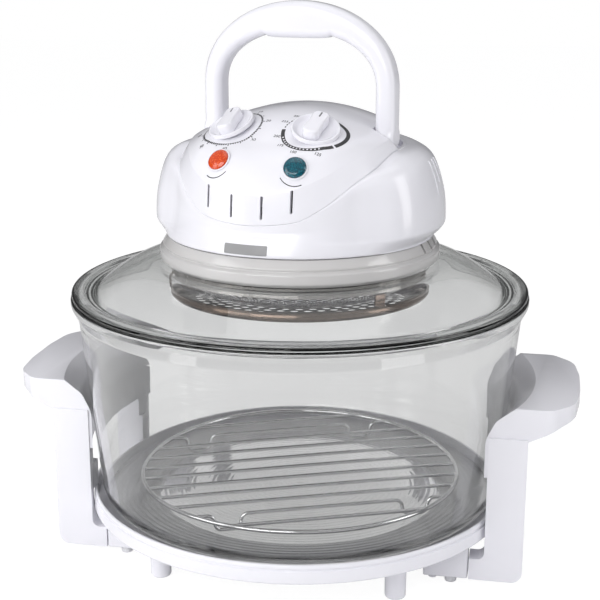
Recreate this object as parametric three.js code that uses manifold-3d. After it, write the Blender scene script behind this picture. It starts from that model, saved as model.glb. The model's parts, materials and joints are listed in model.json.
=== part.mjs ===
// Halogen oven: glass bowl on a plastic base, glass lid with heater head and carry handle.
// Units are millimetres, +Z is up, the origin lies on the table under the middle of the bowl.
import * as THREE from 'three';
import { mergeVertices } from 'three/addons/utils/BufferGeometryUtils.js';
import Module from 'manifold-3d';

const wasm = await Module();
wasm.setup();

// Driving dimensions of the whole oven
const lidRimTop = 202;
const lidTurn = THREE.MathUtils.degToRad(-12);
const rackTurn = THREE.MathUtils.degToRad(23);
const gap = 0.3;
const overrun = 2;
const weld = 0.01;
const roundSides = 32;
const middleSides = 24;
const smallSides = 12;
const rodSides = 6;
const arcSteps = 4;
const curveSteps = 6;
const fineCurveSteps = 10;
const mergeDistance = 1e-4;
const lidGlass = 4.3;

// Bowl
const bowlRimRadius = 168.2;
const bowlRimHeight = 5;
const bowlRimWidth = 7;
const bowlWall = 4;
const bowlFloor = 4.5;
const bowlSeat = 40.8;
const bowlNeckInset = 5.2;
const bowlNeckDrop = 18;
const bowlHeelInset = 18.6;
const bowlHeelRounding = 14;
const bowlRimTop = lidRimTop - lidGlass - gap;
const bowlNeckRadius = bowlRimRadius - bowlNeckInset;
const bowlHeelRadius = bowlRimRadius - bowlHeelInset;

// Base ring with its ledge, its feet and pads
const ringClearance = 5;
const ringWall = 3;
const ringRadius = bowlHeelRadius + ringClearance + ringWall;
const ringLip = 9.2;
const ringTop = bowlSeat + ringLip;
const ledgeThickness = 4.3;
const ledgeWidth = 43.6;
const ledgeTop = bowlSeat - gap;
const ledgeInnerRadius = bowlHeelRadius - ledgeWidth;
const ringBottom = ledgeTop - ledgeThickness;
const ringGrooveDrop = 4;
const ringStep = 0.9;
const footRadius = 7.8;
const footRounding = 1.8;
const footInset = 17.85;
const footAngle = THREE.MathUtils.degToRad(46.28);
const padRadius = 4.4;
const padInset = 12.6;
const bossRadius = 3;
const bossInset = 25.6;
const bossLength = 4;
const lugLength = 32;

// Side handles
const armUnderside = 6;
const armHeight = 16;
const armReach = 23;
const armInnerX = ringRadius - armReach;
const legInset = 12.1;
const legWidth = 27;
const legInnerX = ringRadius - legInset;
const legOuterX = legInnerX + legWidth;
const legThickness = 16.5;
const legOuterY = 66.5;
const legCornerRounding = 8;
const legInnerRounding = 14;
const legChamfer = 1.6;
const gripTop = 136;
const gripHalfLength = 65;
const gripOverhang = 34.5;
const gripCornerSetback = 19;
const gripOuterX = legOuterX + gripOverhang;
const gripCornerX = gripOuterX - gripCornerSetback;
const gripBulgeShare = 0.62;
const gripNoseHeight = 9;
const gripRootHeight = 25;
const scoopClearance = 1.3;
const scoopFlare = 17.7;
const scoopDepth = 22;
const scoopSweep = THREE.MathUtils.degToRad(76);
const scoopRadius = bowlRadiusAt(gripTop - scoopDepth) + scoopClearance;
const skirtBottom = 84;
const skirtWall = 3;

// Wire rack
const rackClearance = 30.3;
const rackWire = 3;
const rackRise = 13.9;
const rackBars = 11;
const rackEndShare = 1.15;
const rackFootWidth = 20;
const rackFootInset = 13;
const rackRadius = bowlHeelRadius - rackClearance;
const rackTop = bowlSeat + bowlFloor + gap + rackRise;

// Lid glass, measured from the top of the lid's rim
const lidRimInset = 0.7;
const lidRimRadius = bowlRimRadius - lidRimInset;
const lidRimFlat = 8;
const lidRimDip = 1.2;
const lidStepClearance = 3;
const lidStepRadius = bowlNeckRadius - bowlWall - lidStepClearance;
const lidStepDepth = 6;
const lidStepWidth = 5;
const lidHoleRadius = 90;
const lidLandWidth = 15;
const lidLandHeight = 20.2;
const lidLandRadius = lidHoleRadius + lidLandWidth;
const domeRings = 3;

// Collar and clamp ring
const collarInset = 2.4;
const collarShoulder = 2.2;
const collarTaper = 3.8;
const collarOverlap = 1;
const collarBandHeight = 10.6;
const collarHeight = 18.2;
const collarGroove = 1.2;
const collarWall = 3;
const collarRounding = 2.4;
const collarVents = 15;
const collarVentPitch = THREE.MathUtils.degToRad(8);
const collarVentWidth = 2.6;
const collarVentHeight = 7.4;
const collarRadius = lidLandRadius - collarInset;
const collarUpperRadius = collarRadius - collarShoulder;
const collarTopRadius = collarUpperRadius - collarTaper;
const collarInnerRadius = lidHoleRadius + collarOverlap;
const collarBottom = lidLandHeight + gap;
const collarTop = collarBottom + collarHeight;
const clampOverlap = 7;
const clampInset = 6;
const clampThickness = 3;
const clampTop = lidLandHeight - lidGlass - gap;
const clampBottom = clampTop - clampThickness;
const clampOuterRadius = lidHoleRadius + clampOverlap;
const clampInnerRadius = lidHoleRadius - clampInset;

// Head housing, heights measured from the top of the lid's rim
const headSeat = 0.5;
const headOverhang = 1;
const headWall = 2.5;
const headSteps = 36;
const headBottom = collarTop + headSeat;
const headBottomRadius = collarTopRadius + headOverhang;
const bibInset = 4.6;
const bibRadius = headBottomRadius - bibInset;
const wingSpread = 13;
const wingLift = 11.8;
const wingRadius = bibRadius + wingSpread;
const wingHeight = headBottom + wingLift;
const domeTop = 108;
const lipWidth = 2.6;
const lipHeight = 5;
const openingFrontInset = 17;
const openingRearInset = 43;
const openingRounding = 12;
const panelTop = 131.5;
const panelCrest = 12;
const panelFrontFall = 53;
const panelRearFall = 23;
const panelCamber = 34;
const panelFrontPower = 2.83;

// Head form. Angle 0 looks to the front, each row of shares runs from the front to the back of one side.
const angleDegrees = [0, 20, 32, 45, 54, 62, 70, 78, 90, 113, 150, 180];
const creaseRadiusShares = [1.004, 1, 0.99, 0.968, 0.94, 0.903, 0.87, 0.85, 0.838, 0.82, 0.79, 0.77];
const creaseHeightShares = [0.556, 0.583, 0.667, 0.792, 0.856, 0.894, 0.935, 0.958, 0.963, 0.968, 0.99, 1];
const ridgeRadiusShares = [0.985, 0.976, 0.952, 0.903, 0.869, 0.839, 0.81, 0.785, 0.76, 0.742, 0.71, 0.69];
const wingShares = [0, 0, 0, 0, 0.3, 0.75, 0.95, 1, 1, 1, 1, 1];
const lipFrontShare = 0.15;
const bibFlareShare = 0.5;
const wallInsetShares = [0.06, 0.3, 0.62];
const wallRiseShares = [0.4, 0.8, 0.95];
const roofShares = [0.75, 0.4];
const capShares = [0.93, 0.8, 0.6, 0.35];

// Slits, dials and lamps on the control panel
const slitWidth = 1.6;
const slitInnerX = 11;
const slitOuterX = 30.5;
const slitInnerBottom = 64.5;
const slitOuterBottom = 69;
const slitHeight = 15.5;
const dialX = 31;
const dialY = 46;
const lampX = 29.5;
const lampY = 72;
const knobRadius = 17;
const knobHeight = 2.6;
const knobFinLength = 29;
const knobFinWidth = 12.5;
const knobFinHeight = 8.4;
const knobFinRounding = 4.2;
const knobLift = 1;
const spindleRadius = 3;
const spindleLength = 14;
const spindleSeat = 2.6;
const lampRadius = 7.6;
const lampDome = 2.4;
const lampShoulderShare = 0.7;
const lampDepth = 9;
const lampFlange = 1.1;
const timerWidth = 32;
const timerDepth = 20;
const timerRounding = 4;
const thermostatRadius = 15;
const thermostatDepth = 18;

// Carry handle, heights measured from the top of the lid's rim
const carryOuterX = 73.2;
const carryThickness = 14;
const carryInnerX = carryOuterX - carryThickness;
const carryTop = 203.3;
const carryGripThickness = 23;
const carryDepth = 18;
const carryPivot = 111;
const carryChamfer = 3.6;
const channelClearance = 0.8;
const channelX = carryInnerX - channelClearance;
const channelFront = carryDepth / 2 + channelClearance;
const innerLegShare = 0.33;
const innerBendShare = 0.56;
const innerShoulderShares = [0.82, 0.66];
const innerGripShares = [0.42, 0.745];
const outerLegShare = 0.355;
const outerBendShare = 0.78;
const outerBowShare = 0.56;
const pinRadius = 3;
const pinLength = 13;

// Heater, reflector and guard, heights measured from the top of the lid's rim
const sheet = 1.2;
const shieldThickness = 1.5;
const shieldLift = 0.5;
const shieldBottom = lidLandHeight + shieldLift;
const shieldRadius = collarInnerRadius - 2 * gap;
const reflectorInset = 3;
const reflectorHeight = 7;
const reflectorRadius = clampInnerRadius - reflectorInset;
const reflectorTop = shieldBottom - gap;
const shaftHole = 10;
const tubeRadius = 4.6;
const tubeRingRadius = 66;
const tubeHeight = 4.5;
const tubeGapAngle = THREE.MathUtils.degToRad(34);
const tubeSteps = 24;
const tubeSides = 6;
const capWidth = 13;
const capLength = 14;
const guardInset = 2.5;
const guardRadius = clampOuterRadius - guardInset;
const guardBottom = -5.5;
const guardRimHeight = 7.5;
const guardTop = guardBottom + guardRimHeight;
const guardHoleRadius = 3.6;
const guardRings = 4;
const guardRingPitch = 19;
const guardHolePitch = 26;
const guardHoleSides = 6;
const postWidth = 8;
const postThickness = 1.6;
const postFlange = 7;
const postDegrees = [-152, -32, 90];

// Motor and fans, heights measured from the top of the lid's rim
const motorRadius = 27;
const motorBottom = 52;
const motorHeight = 26;
const coilWidth = 30;
const coilLength = 20;
const bracketSpan = 112;
const bracketWidth = 22;
const bracketSheet = 1.8;
const shaftRadius = 2.5;
const shaftBottom = 4.5;
const fanHubRadius = 8;
const fanHubHeight = 9;
const convectionFanRadius = 52;
const convectionFanBottom = 6;
const coolingFanRadius = 42;
const coolingFanBottom = 29;
const fanBlades = 6;
const bladeThickness = 1.2;
const bladeTwist = THREE.MathUtils.degToRad(35);

// Switch, terminals and cable gland
const switchLength = 18;
const switchWidth = 8;
const switchHeight = 12;
const plungerRadius = 1.8;
const plungerLength = 7;
const plungerHeight = carryPivot - carryDepth / 2 + plungerRadius;
const terminalLength = 30;
const terminalWidth = 12;
const terminalHeight = 14;
const glandRadius = 7;
const glandBore = 3.6;
const glandFlange = 10;
const glandLength = 12;
const glandHeight = 60;
const glandTurn = -lidTurn;

// Finishes
const finish = {
  white: new THREE.MeshStandardMaterial({ color: 0xf2f1f8, roughness: 0.28, metalness: 0 }),
  warmWhite: new THREE.MeshStandardMaterial({ color: 0xdedbd6, roughness: 0.32, metalness: 0 }),
  clearGlass: new THREE.MeshStandardMaterial({
    color: 0xd7dcdb, roughness: 0.05, metalness: 0, transparent: true, opacity: 0.35,
  }),
  chrome: new THREE.MeshStandardMaterial({ color: 0xc9c9c9, roughness: 0.16, metalness: 1 }),
  steel: new THREE.MeshStandardMaterial({ color: 0xa8a49f, roughness: 0.3, metalness: 1 }),
  darkSteel: new THREE.MeshStandardMaterial({ color: 0x5d5751, roughness: 0.45, metalness: 0.9 }),
  quartz: new THREE.MeshStandardMaterial({
    color: 0xe4dfd2, roughness: 0.12, metalness: 0, transparent: true, opacity: 0.6,
  }),
  ceramic: new THREE.MeshStandardMaterial({ color: 0xe7e2d6, roughness: 0.75, metalness: 0 }),
  orangeLens: new THREE.MeshStandardMaterial({ color: 0xe2490f, roughness: 0.18, metalness: 0 }),
  tealLens: new THREE.MeshStandardMaterial({ color: 0x06596b, roughness: 0.18, metalness: 0 }),
  black: new THREE.MeshStandardMaterial({ color: 0x1d1d1f, roughness: 0.5, metalness: 0 }),
  rubber: new THREE.MeshStandardMaterial({ color: 0xe6e6ea, roughness: 0.7, metalness: 0 }),
};

// Solids: conversion between three.js geometry and manifold-3d, and the joins and cuts
function toSolid(geometry) {
  const bare = geometry.clone();
  bare.deleteAttribute('normal');
  bare.deleteAttribute('uv');
  const merged = mergeVertices(bare, mergeDistance);
  return new wasm.Manifold(new wasm.Mesh({
    numProp: 3,
    vertProperties: new Float32Array(merged.attributes.position.array),
    triVerts: new Uint32Array(merged.index.array),
  }));
}

function toGeometry(solid) {
  const mesh = solid.getMesh();
  const points = [];
  for (let i = 0; i < mesh.numVert; i += 1) {
    const at = i * mesh.numProp;
    points.push(new THREE.Vector3(
      mesh.vertProperties[at], mesh.vertProperties[at + 1], mesh.vertProperties[at + 2],
    ));
  }
  let faces = [];
  for (let i = 0; i < mesh.triVerts.length; i += 3) {
    faces.push([mesh.triVerts[i], mesh.triVerts[i + 1], mesh.triVerts[i + 2]]);
  }
  faces = flipFlat(points, closeShort(points, faces));
  const corners = faces.flat().flatMap((index) => points[index].toArray());
  const geometry = new THREE.BufferGeometry();
  geometry.setAttribute('position', new THREE.Float32BufferAttribute(corners, 3));
  geometry.computeVertexNormals();
  return geometry;
}

// Draws the two ends of each edge that a cut left too short into one point, where no edge gets doubled
function closeShort(points, faces) {
  let left = faces;
  for (;;) {
    const near = points.map(() => new Set());
    const sides = left.flatMap((face) => face.map((from, k) => [from, face[(k + 1) % 3]]));
    sides.forEach(([from, to]) => near[from].add(to));
    const short = sides.find(([from, to]) => {
      const shared = [...near[from]].filter((corner) => near[to].has(corner)).length;
      return shared === 2 && points[from].distanceTo(points[to]) < weld;
    });
    if (!short) {
      return left;
    }
    const drawn = left.map((face) => face.map((corner) => (corner === short[0] ? short[1] : corner)));
    left = drawn.filter(([a, b, c]) => a !== b && b !== c && c !== a);
  }
}

// Turns the long edge of each triangle that a cut left flat over to the neighbour's far corner
function flipFlat(points, faces) {
  const owner = new Map();
  const own = (index) => {
    for (let k = 0; k < 3; k += 1) {
      owner.set(`${faces[index][k]} ${faces[index][(k + 1) % 3]}`, index);
    }
  };
  faces.forEach((_, index) => own(index));
  faces.forEach((face, index) => {
    const lengths = face.map((corner, k) => points[corner].distanceTo(points[face[(k + 1) % 3]]));
    const longest = lengths.indexOf(Math.max(...lengths));
    const [a, b, c] = [0, 1, 2].map((k) => face[(longest + k) % 3]);
    const along = new THREE.Line3(points[a], points[b]);
    const foot = along.closestPointToPoint(points[c], true, new THREE.Vector3());
    const other = owner.get(`${b} ${a}`);
    const d = faces[other].find((corner) => corner !== a && corner !== b);
    if (foot.distanceTo(points[c]) >= weld || owner.has(`${c} ${d}`) || owner.has(`${d} ${c}`)) {
      return;
    }
    owner.delete(`${a} ${b}`);
    owner.delete(`${b} ${a}`);
    faces[index] = [a, d, c];
    faces[other] = [d, b, c];
    own(index);
    own(other);
  });
  return faces;
}

function join(...geometries) {
  const [first, ...rest] = geometries.map(toSolid);
  return toGeometry(rest.reduce((solid, other) => solid.add(other), first));
}

function cut(geometry, ...tools) {
  return toGeometry(tools.reduce((solid, tool) => solid.subtract(toSolid(tool)), toSolid(geometry)));
}

function common(geometry, other) {
  return toGeometry(toSolid(geometry).intersect(toSolid(other)));
}

// Basic shapes, all with Z as their axis
function revolve(profile, sides = roundSides) {
  const points = profile.map(([radius, height]) => new THREE.Vector2(radius, height));
  return new THREE.LatheGeometry(points, sides).rotateX(Math.PI / 2);
}

function ring(outer, inner, bottom, top, sides = roundSides) {
  return revolve([[inner, bottom], [outer, bottom], [outer, top], [inner, top], [inner, bottom]], sides);
}

function disc(radius, bottom, top, sides = roundSides) {
  return revolve([[0, bottom], [radius, bottom], [radius, top], [0, top]], sides);
}

function block(x0, x1, y0, y1, z0, z1) {
  const box = new THREE.BoxGeometry(x1 - x0, y1 - y0, z1 - z0);
  return box.translate((x0 + x1) / 2, (y0 + y1) / 2, (z0 + z1) / 2);
}

function slab(shape, bottom, top, curveSegments = curveSteps) {
  const solid = new THREE.ExtrudeGeometry(shape, { depth: top - bottom, bevelEnabled: false, curveSegments });
  return solid.translate(0, 0, bottom);
}

function roundedRectangle(x0, x1, y0, y1, rounding) {
  const shape = new THREE.Shape();
  shape.moveTo(x0 + rounding, y0);
  shape.lineTo(x1 - rounding, y0);
  shape.absarc(x1 - rounding, y0 + rounding, rounding, -Math.PI / 2, 0, false);
  shape.absarc(x1 - rounding, y1 - rounding, rounding, 0, Math.PI / 2, false);
  shape.absarc(x0 + rounding, y1 - rounding, rounding, Math.PI / 2, Math.PI, false);
  shape.absarc(x0 + rounding, y0 + rounding, rounding, Math.PI, Math.PI * 1.5, false);
  return shape;
}

// Points of a quarter round from one corner point to the next, about a centre
function quarter(centreX, centreZ, radius, from, to, steps = arcSteps) {
  const points = [];
  for (let i = 0; i <= steps; i += 1) {
    const angle = from + (to - from) * i / steps;
    points.push([centreX + radius * Math.cos(angle), centreZ + radius * Math.sin(angle)]);
  }
  return points;
}

function named(name, geometry, material) {
  const mesh = new THREE.Mesh(geometry, material);
  mesh.name = name;
  return mesh;
}

// Outer radius of the bowl's flared wall at a height
function bowlRadiusAt(height) {
  const heel = bowlSeat + bowlHeelRounding;
  const share = (height - heel) / (bowlRimTop - bowlNeckDrop - heel);
  return bowlHeelRadius + (bowlNeckRadius - bowlHeelRadius) * share;
}

// Glass bowl: flat floor, rounded heel, slightly flared wall, neck and flat rim
function makeBowl() {
  const neck = bowlRimTop - bowlNeckDrop;
  const heel = bowlSeat + bowlHeelRounding;
  const centre = bowlHeelRadius - bowlHeelRounding;
  const profile = [
    [0, bowlSeat],
    ...quarter(centre, heel, bowlHeelRounding, -Math.PI / 2, 0),
    [bowlNeckRadius, neck],
    [bowlRimRadius, bowlRimTop - bowlRimHeight],
    [bowlRimRadius, bowlRimTop],
    [bowlRimRadius - bowlRimWidth, bowlRimTop],
    [bowlNeckRadius - bowlWall, neck],
    ...quarter(centre, heel, bowlHeelRounding - bowlWall, 0, -Math.PI / 2).map(
      ([radius, height]) => [radius, Math.max(height, bowlSeat + bowlFloor)],
    ),
    [0, bowlSeat + bowlFloor],
  ];
  return revolve(profile);
}

// Base ring: wall round the bowl's heel, ledge that the bowl stands on, lugs for the handle arms
function makeBaseRing() {
  const grooveHeight = ringTop - ringGrooveDrop;
  const profile = [
    [ledgeInnerRadius, ringBottom],
    [ringRadius - ringStep, ringBottom],
    [ringRadius, ringBottom + ringStep],
    [ringRadius, grooveHeight],
    [ringRadius - ringStep, grooveHeight + ringStep],
    [ringRadius - ringStep, ringTop],
    [ringRadius - ringWall, ringTop],
    [ringRadius - ringWall, ledgeTop],
    [ledgeInnerRadius, ledgeTop],
    [ledgeInnerRadius, ringBottom],
  ];
  const pieces = [revolve(profile)];
  const lugOuterX = armInnerX - gap;
  const seatInside = (ledgeTop + ringBottom) / 2;
  for (const side of [-1, 1]) {
    for (const end of [-1, 1]) {
      const xs = [side * lugOuterX, side * (lugOuterX - lugLength)].sort((a, b) => a - b);
      const ys = [end * legOuterY, end * (legOuterY - legThickness)].sort((a, b) => a - b);
      pieces.push(block(...xs, ...ys, armUnderside, seatInside));
      const middleY = end * (legOuterY - legThickness / 2);
      const boss = disc(bossRadius, armUnderside - bossLength, armUnderside + overrun, smallSides);
      pieces.push(boss.translate(side * (armInnerX - bossInset), middleY, 0));
    }
  }
  return join(...pieces);
}

// Round foot under the ledge
function makeFoot() {
  return revolve([
    [0, 0],
    [footRadius - footRounding, 0],
    [footRadius, footRounding],
    [footRadius, ringBottom - gap],
    [0, ringBottom - gap],
  ], smallSides);
}

function makePad() {
  return disc(padRadius, 0, armUnderside - gap, smallSides);
}

// Side handle: a broad grip on two legs, hollowed towards the bowl, with arms that reach the base ring
function makeLeg(end) {
  const outline = new THREE.Shape();
  const armTop = armUnderside + armHeight;
  const legTop = gripTop - gripRootHeight;
  outline.moveTo(armInnerX, armUnderside);
  outline.lineTo(legOuterX - legCornerRounding, armUnderside);
  outline.absarc(
    legOuterX - legCornerRounding, armUnderside + legCornerRounding, legCornerRounding,
    -Math.PI / 2, 0, false,
  );
  outline.lineTo(legOuterX, legTop + overrun);
  outline.lineTo(legInnerX, legTop + overrun);
  outline.lineTo(legInnerX, armTop + legInnerRounding);
  outline.absarc(
    legInnerX - legInnerRounding, armTop + legInnerRounding, legInnerRounding, 0, -Math.PI / 2, true,
  );
  outline.lineTo(legInnerX - legInnerRounding, armTop);
  const depth = legThickness - 2 * legChamfer;
  const plate = new THREE.ExtrudeGeometry(outline, {
    depth,
    bevelEnabled: true,
    bevelThickness: legChamfer,
    bevelSize: legChamfer,
    bevelOffset: -legChamfer,
    bevelSegments: 1,
    curveSegments: curveSteps,
  });
  plate.rotateX(Math.PI / 2);
  const middle = legOuterY - legThickness / 2;
  plate.translate(0, end * middle + depth / 2, 0);
  return cut(plate, block(
    0, armInnerX, -gripOuterX, gripOuterX, -overrun, gripTop + overrun,
  ));
}

function makeGrip() {
  const plan = new THREE.Shape();
  plan.moveTo(legInnerX - legInnerRounding, -gripHalfLength);
  plan.lineTo(gripCornerX, -gripHalfLength);
  plan.bezierCurveTo(
    (gripCornerX + gripOuterX) / 2, -gripHalfLength, gripOuterX, -gripHalfLength * gripBulgeShare,
    gripOuterX, 0,
  );
  plan.bezierCurveTo(
    gripOuterX, gripHalfLength * gripBulgeShare, (gripCornerX + gripOuterX) / 2, gripHalfLength,
    gripCornerX, gripHalfLength,
  );
  plan.lineTo(legInnerX - legInnerRounding, gripHalfLength);
  const body = slab(plan, skirtBottom, gripTop, fineCurveSteps);
  const side = new THREE.Shape();
  const noseUnder = gripTop - gripNoseHeight;
  const rootUnder = gripTop - gripRootHeight;
  side.moveTo(0, skirtBottom - overrun);
  side.lineTo(legInnerX, skirtBottom - overrun);
  side.lineTo(legInnerX, rootUnder);
  side.lineTo(legOuterX, rootUnder);
  side.quadraticCurveTo((legOuterX + gripOuterX) / 2, rootUnder + gripNoseHeight / 2, gripOuterX, noseUnder);
  side.lineTo(gripOuterX + overrun, gripTop);
  side.lineTo(gripOuterX - gripNoseHeight, gripTop + gripNoseHeight);
  side.lineTo(0, gripTop + gripNoseHeight);
  const across = slab(side, -gripOuterX, gripOuterX).rotateX(Math.PI / 2);
  return common(body, across);
}

function makeSideHandle() {
  const skirt = common(
    ring(scoopRadius + skirtWall, scoopRadius - overrun, skirtBottom, gripTop - scoopDepth / 2),
    block(0, gripOuterX, -legOuterY + legThickness / 2, legOuterY - legThickness / 2, 0, gripTop),
  );
  const scoop = revolve([
    [0, skirtBottom - overrun],
    [scoopRadius, skirtBottom - overrun],
    [scoopRadius, gripTop - scoopDepth],
    ...quarter(
      scoopRadius + scoopDepth, gripTop - scoopDepth, scoopDepth, Math.PI, Math.PI - scoopSweep,
    ),
    [scoopRadius + scoopFlare, gripTop],
    [scoopRadius + scoopFlare + overrun, gripTop + overrun],
    [0, gripTop + overrun],
  ]);
  const ringRoom = disc(ringRadius + gap, ringBottom - gap, ringTop + gap);
  const whole = join(makeGrip(), makeLeg(-1), makeLeg(1), skirt);
  return cut(whole, scoop, ringRoom);
}

// Chrome wire rack: a round frame, parallel bars, and two bars whose ends bend down into feet
function makeRack() {
  const wire = rackWire / 2;
  const frame = revolve(quarter(rackRadius, rackTop - rackWire, wire, 0, 2 * Math.PI, rodSides));
  const pieces = [frame];
  const footBottom = bowlSeat + bowlFloor + gap + wire;
  const barHeight = rackTop - wire;
  const middle = (rackBars - 1) / 2;
  const pitch = rackRadius / (middle + rackEndShare);
  for (let i = 0; i < rackBars; i += 1) {
    const y = (i - middle) * pitch;
    const half = Math.sqrt(rackRadius ** 2 - y ** 2);
    const end = half + wire;
    if (i === 1 || i === rackBars - 2) {
      const outer = half - rackFootInset;
      const inner = outer - rackFootWidth;
      const points = [];
      for (const [x, z] of [
        [-end, barHeight], [-outer, barHeight], [-outer + wire, footBottom], [-inner - wire, footBottom],
        [-inner, barHeight], [inner, barHeight], [inner + wire, footBottom], [outer - wire, footBottom],
        [outer, barHeight], [end, barHeight],
      ]) {
        points.push(new THREE.Vector3(x, y, z));
      }
      for (let k = 1; k < points.length; k += 1) {
        pieces.push(rod(points[k - 1], points[k], wire));
      }
    } else {
      pieces.push(rod(new THREE.Vector3(-end, y, barHeight), new THREE.Vector3(end, y, barHeight), wire));
    }
  }
  return join(...pieces);
}

// Round bar between two points, a little longer than their distance so that neighbours join
function rod(from, to, radius) {
  const axis = new THREE.Vector3().subVectors(to, from);
  const length = axis.length() + radius;
  const bar = new THREE.CylinderGeometry(radius, radius, length, rodSides);
  const turn = new THREE.Quaternion().setFromUnitVectors(new THREE.Vector3(0, 1, 0), axis.normalize());
  bar.applyQuaternion(turn);
  const centre = new THREE.Vector3().addVectors(from, to).divideScalar(2);
  return bar.translate(centre.x, centre.y, centre.z);
}

// Glass lid: flat rim, locating step inside the bowl, shallow dome, flat land round the hole
function makeLidGlass() {
  const top = [[lidRimRadius, -lidGlass / 2]];
  top.push([lidRimRadius - lidGlass / 4, 0]);
  top.push([lidRimRadius - lidRimFlat, 0]);
  top.push([lidStepRadius, -lidRimDip]);
  const domeStart = lidStepRadius - lidStepWidth;
  for (let i = 0; i <= domeRings; i += 1) {
    const share = i / domeRings;
    const radius = domeStart + (lidLandRadius - domeStart) * share;
    top.push([radius, -lidRimDip + (lidLandHeight + lidRimDip) * Math.sin(share * Math.PI / 2)]);
  }
  top.push([lidHoleRadius, lidLandHeight]);
  const under = [[lidHoleRadius, lidLandHeight - lidGlass]];
  for (let i = domeRings; i >= 1; i -= 1) {
    const share = i / domeRings;
    const radius = domeStart + (lidLandRadius - domeStart) * share;
    under.push([
      radius, -lidRimDip - lidGlass + (lidLandHeight + lidRimDip) * Math.sin(share * Math.PI / 2),
    ]);
  }
  under.push([domeStart, -lidGlass - lidStepDepth]);
  under.push([lidStepRadius, -lidGlass - lidStepDepth]);
  under.push([lidStepRadius + lidRimDip, -lidGlass]);
  under.push([lidRimRadius - lidGlass / 4, -lidGlass]);
  under.push([lidRimRadius, -lidGlass / 2]);
  return revolve([...top, ...under]).translate(0, 0, lidRimTop);
}

// Collar: lower band, groove and tapering upper ring, with air slots round its back half
function makeCollar() {
  const band = collarBottom + collarBandHeight;
  const profile = [
    [collarInnerRadius, collarBottom],
    [collarRadius - collarRounding, collarBottom],
    [collarRadius, collarBottom + collarRounding],
    [collarRadius, band - collarGroove],
    [collarUpperRadius - collarGroove, band],
    [collarUpperRadius, band + collarGroove],
    [collarTopRadius, collarTop],
    [collarTopRadius - collarWall, collarTop],
    [collarUpperRadius - collarWall - collarGroove, band],
    [collarUpperRadius - collarWall - collarGroove, collarBottom + collarWall],
    [collarInnerRadius, collarBottom + collarWall],
    [collarInnerRadius, collarBottom],
  ];
  const slots = [];
  for (let i = 0; i < collarVents; i += 1) {
    const angle = Math.PI / 2 + (i - (collarVents - 1) / 2) * collarVentPitch;
    const slot = block(
      collarTopRadius - collarWall * 2, collarRadius + overrun, -collarVentWidth / 2, collarVentWidth / 2,
      collarTop - collarVentHeight, collarTop + overrun,
    );
    slots.push(slot.rotateZ(angle));
  }
  return cut(revolve(profile), ...slots).translate(0, 0, lidRimTop);
}

function makeClampRing() {
  return ring(clampOuterRadius, clampInnerRadius, clampBottom, clampTop).translate(0, 0, lidRimTop);
}

// Value at an angle from the front, between the neighbouring shares of a row
function along(shares, angle) {
  const degrees = Math.abs(THREE.MathUtils.radToDeg(angle));
  const last = angleDegrees.length - 1;
  let i = 1;
  while (i < last && angleDegrees[i] < degrees) {
    i += 1;
  }
  const part = (degrees - angleDegrees[i - 1]) / (angleDegrees[i] - angleDegrees[i - 1]);
  return shares[i - 1] + (shares[i] - shares[i - 1]) * Math.min(part, 1);
}

// Height of the control panel's face: it falls steeply to the front, gently to the back and to both sides
function panelHeight(x, y) {
  const reach = panelCrest - y;
  const fall = reach > 0
    ? panelFrontFall * (reach / (bibRadius + panelCrest)) ** panelFrontPower
    : panelRearFall * (reach / (bibRadius - panelCrest)) ** 2;
  return panelTop - fall - panelCamber * (x / bibRadius) ** 2;
}

// Closed polar loft: one profile of radius and height pairs for each angle, from the bottom axis to the top
function loft(profileAt, steps = headSteps) {
  const rows = [];
  for (let i = 0; i < steps; i += 1) {
    const angle = -Math.PI + i * 2 * Math.PI / steps;
    rows.push(profileAt(angle).map(([radius, height]) => [
      radius * Math.sin(angle), -radius * Math.cos(angle), height,
    ]));
  }
  const count = rows[0].length;
  const points = [];
  const faces = [];
  for (const row of rows) {
    for (const point of row) {
      points.push(...point);
    }
  }
  const bottomIndex = points.length / 3;
  points.push(0, 0, rows[0][0][2]);
  const topIndex = bottomIndex + 1;
  points.push(0, 0, Math.max(...rows.map((row) => row[count - 1][2])));
  for (let i = 0; i < steps; i += 1) {
    const a = i * count;
    const b = ((i + 1) % steps) * count;
    for (let k = 0; k < count - 1; k += 1) {
      faces.push(a + k, b + k, b + k + 1, a + k, b + k + 1, a + k + 1);
    }
    faces.push(bottomIndex, b, a);
    faces.push(topIndex, a + count - 1, b + count - 1);
  }
  const geometry = new THREE.BufferGeometry();
  geometry.setAttribute('position', new THREE.Float32BufferAttribute(points, 3));
  geometry.setIndex(faces);
  return geometry;
}

// The housing's dome, grown or shrunk by an offset: a bib in front, a wing on each side, a flat roof.
// The outside has a lip round its roof that the control panel stands on, the room inside has none.
function makeDome(offset, bottom, hasLip) {
  return loft((angle) => {
    const wing = along(wingShares, angle);
    const lip = lipHeight * Math.max(wing, lipFrontShare);
    const edge = bibRadius * along(creaseRadiusShares, angle) + offset;
    const bulge = bibRadius + (wingRadius - bibRadius) * wing + offset;
    const rise = domeTop * along(creaseHeightShares, angle) + offset - (hasLip ? 0 : lip);
    const flare = (headBottomRadius - bibRadius) * (1 - wing) * bibFlareShare;
    const profile = [
      [headBottomRadius + offset, bottom],
      [headBottomRadius + offset, headBottom],
      [bulge + flare, wingHeight],
      ...wallInsetShares.map((share, i) => [
        bulge - (bulge - edge) * share, wingHeight + (rise - wingHeight) * wallRiseShares[i],
      ]),
      [edge, rise],
    ];
    if (hasLip) {
      const inner = edge - lipWidth - 2 * offset;
      profile.push([inner, rise], [inner, rise - lip]);
    }
    const roof = hasLip ? rise - lip : rise;
    return [...profile, ...roofShares.map((share) => [edge * share, roof])];
  });
}

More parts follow.
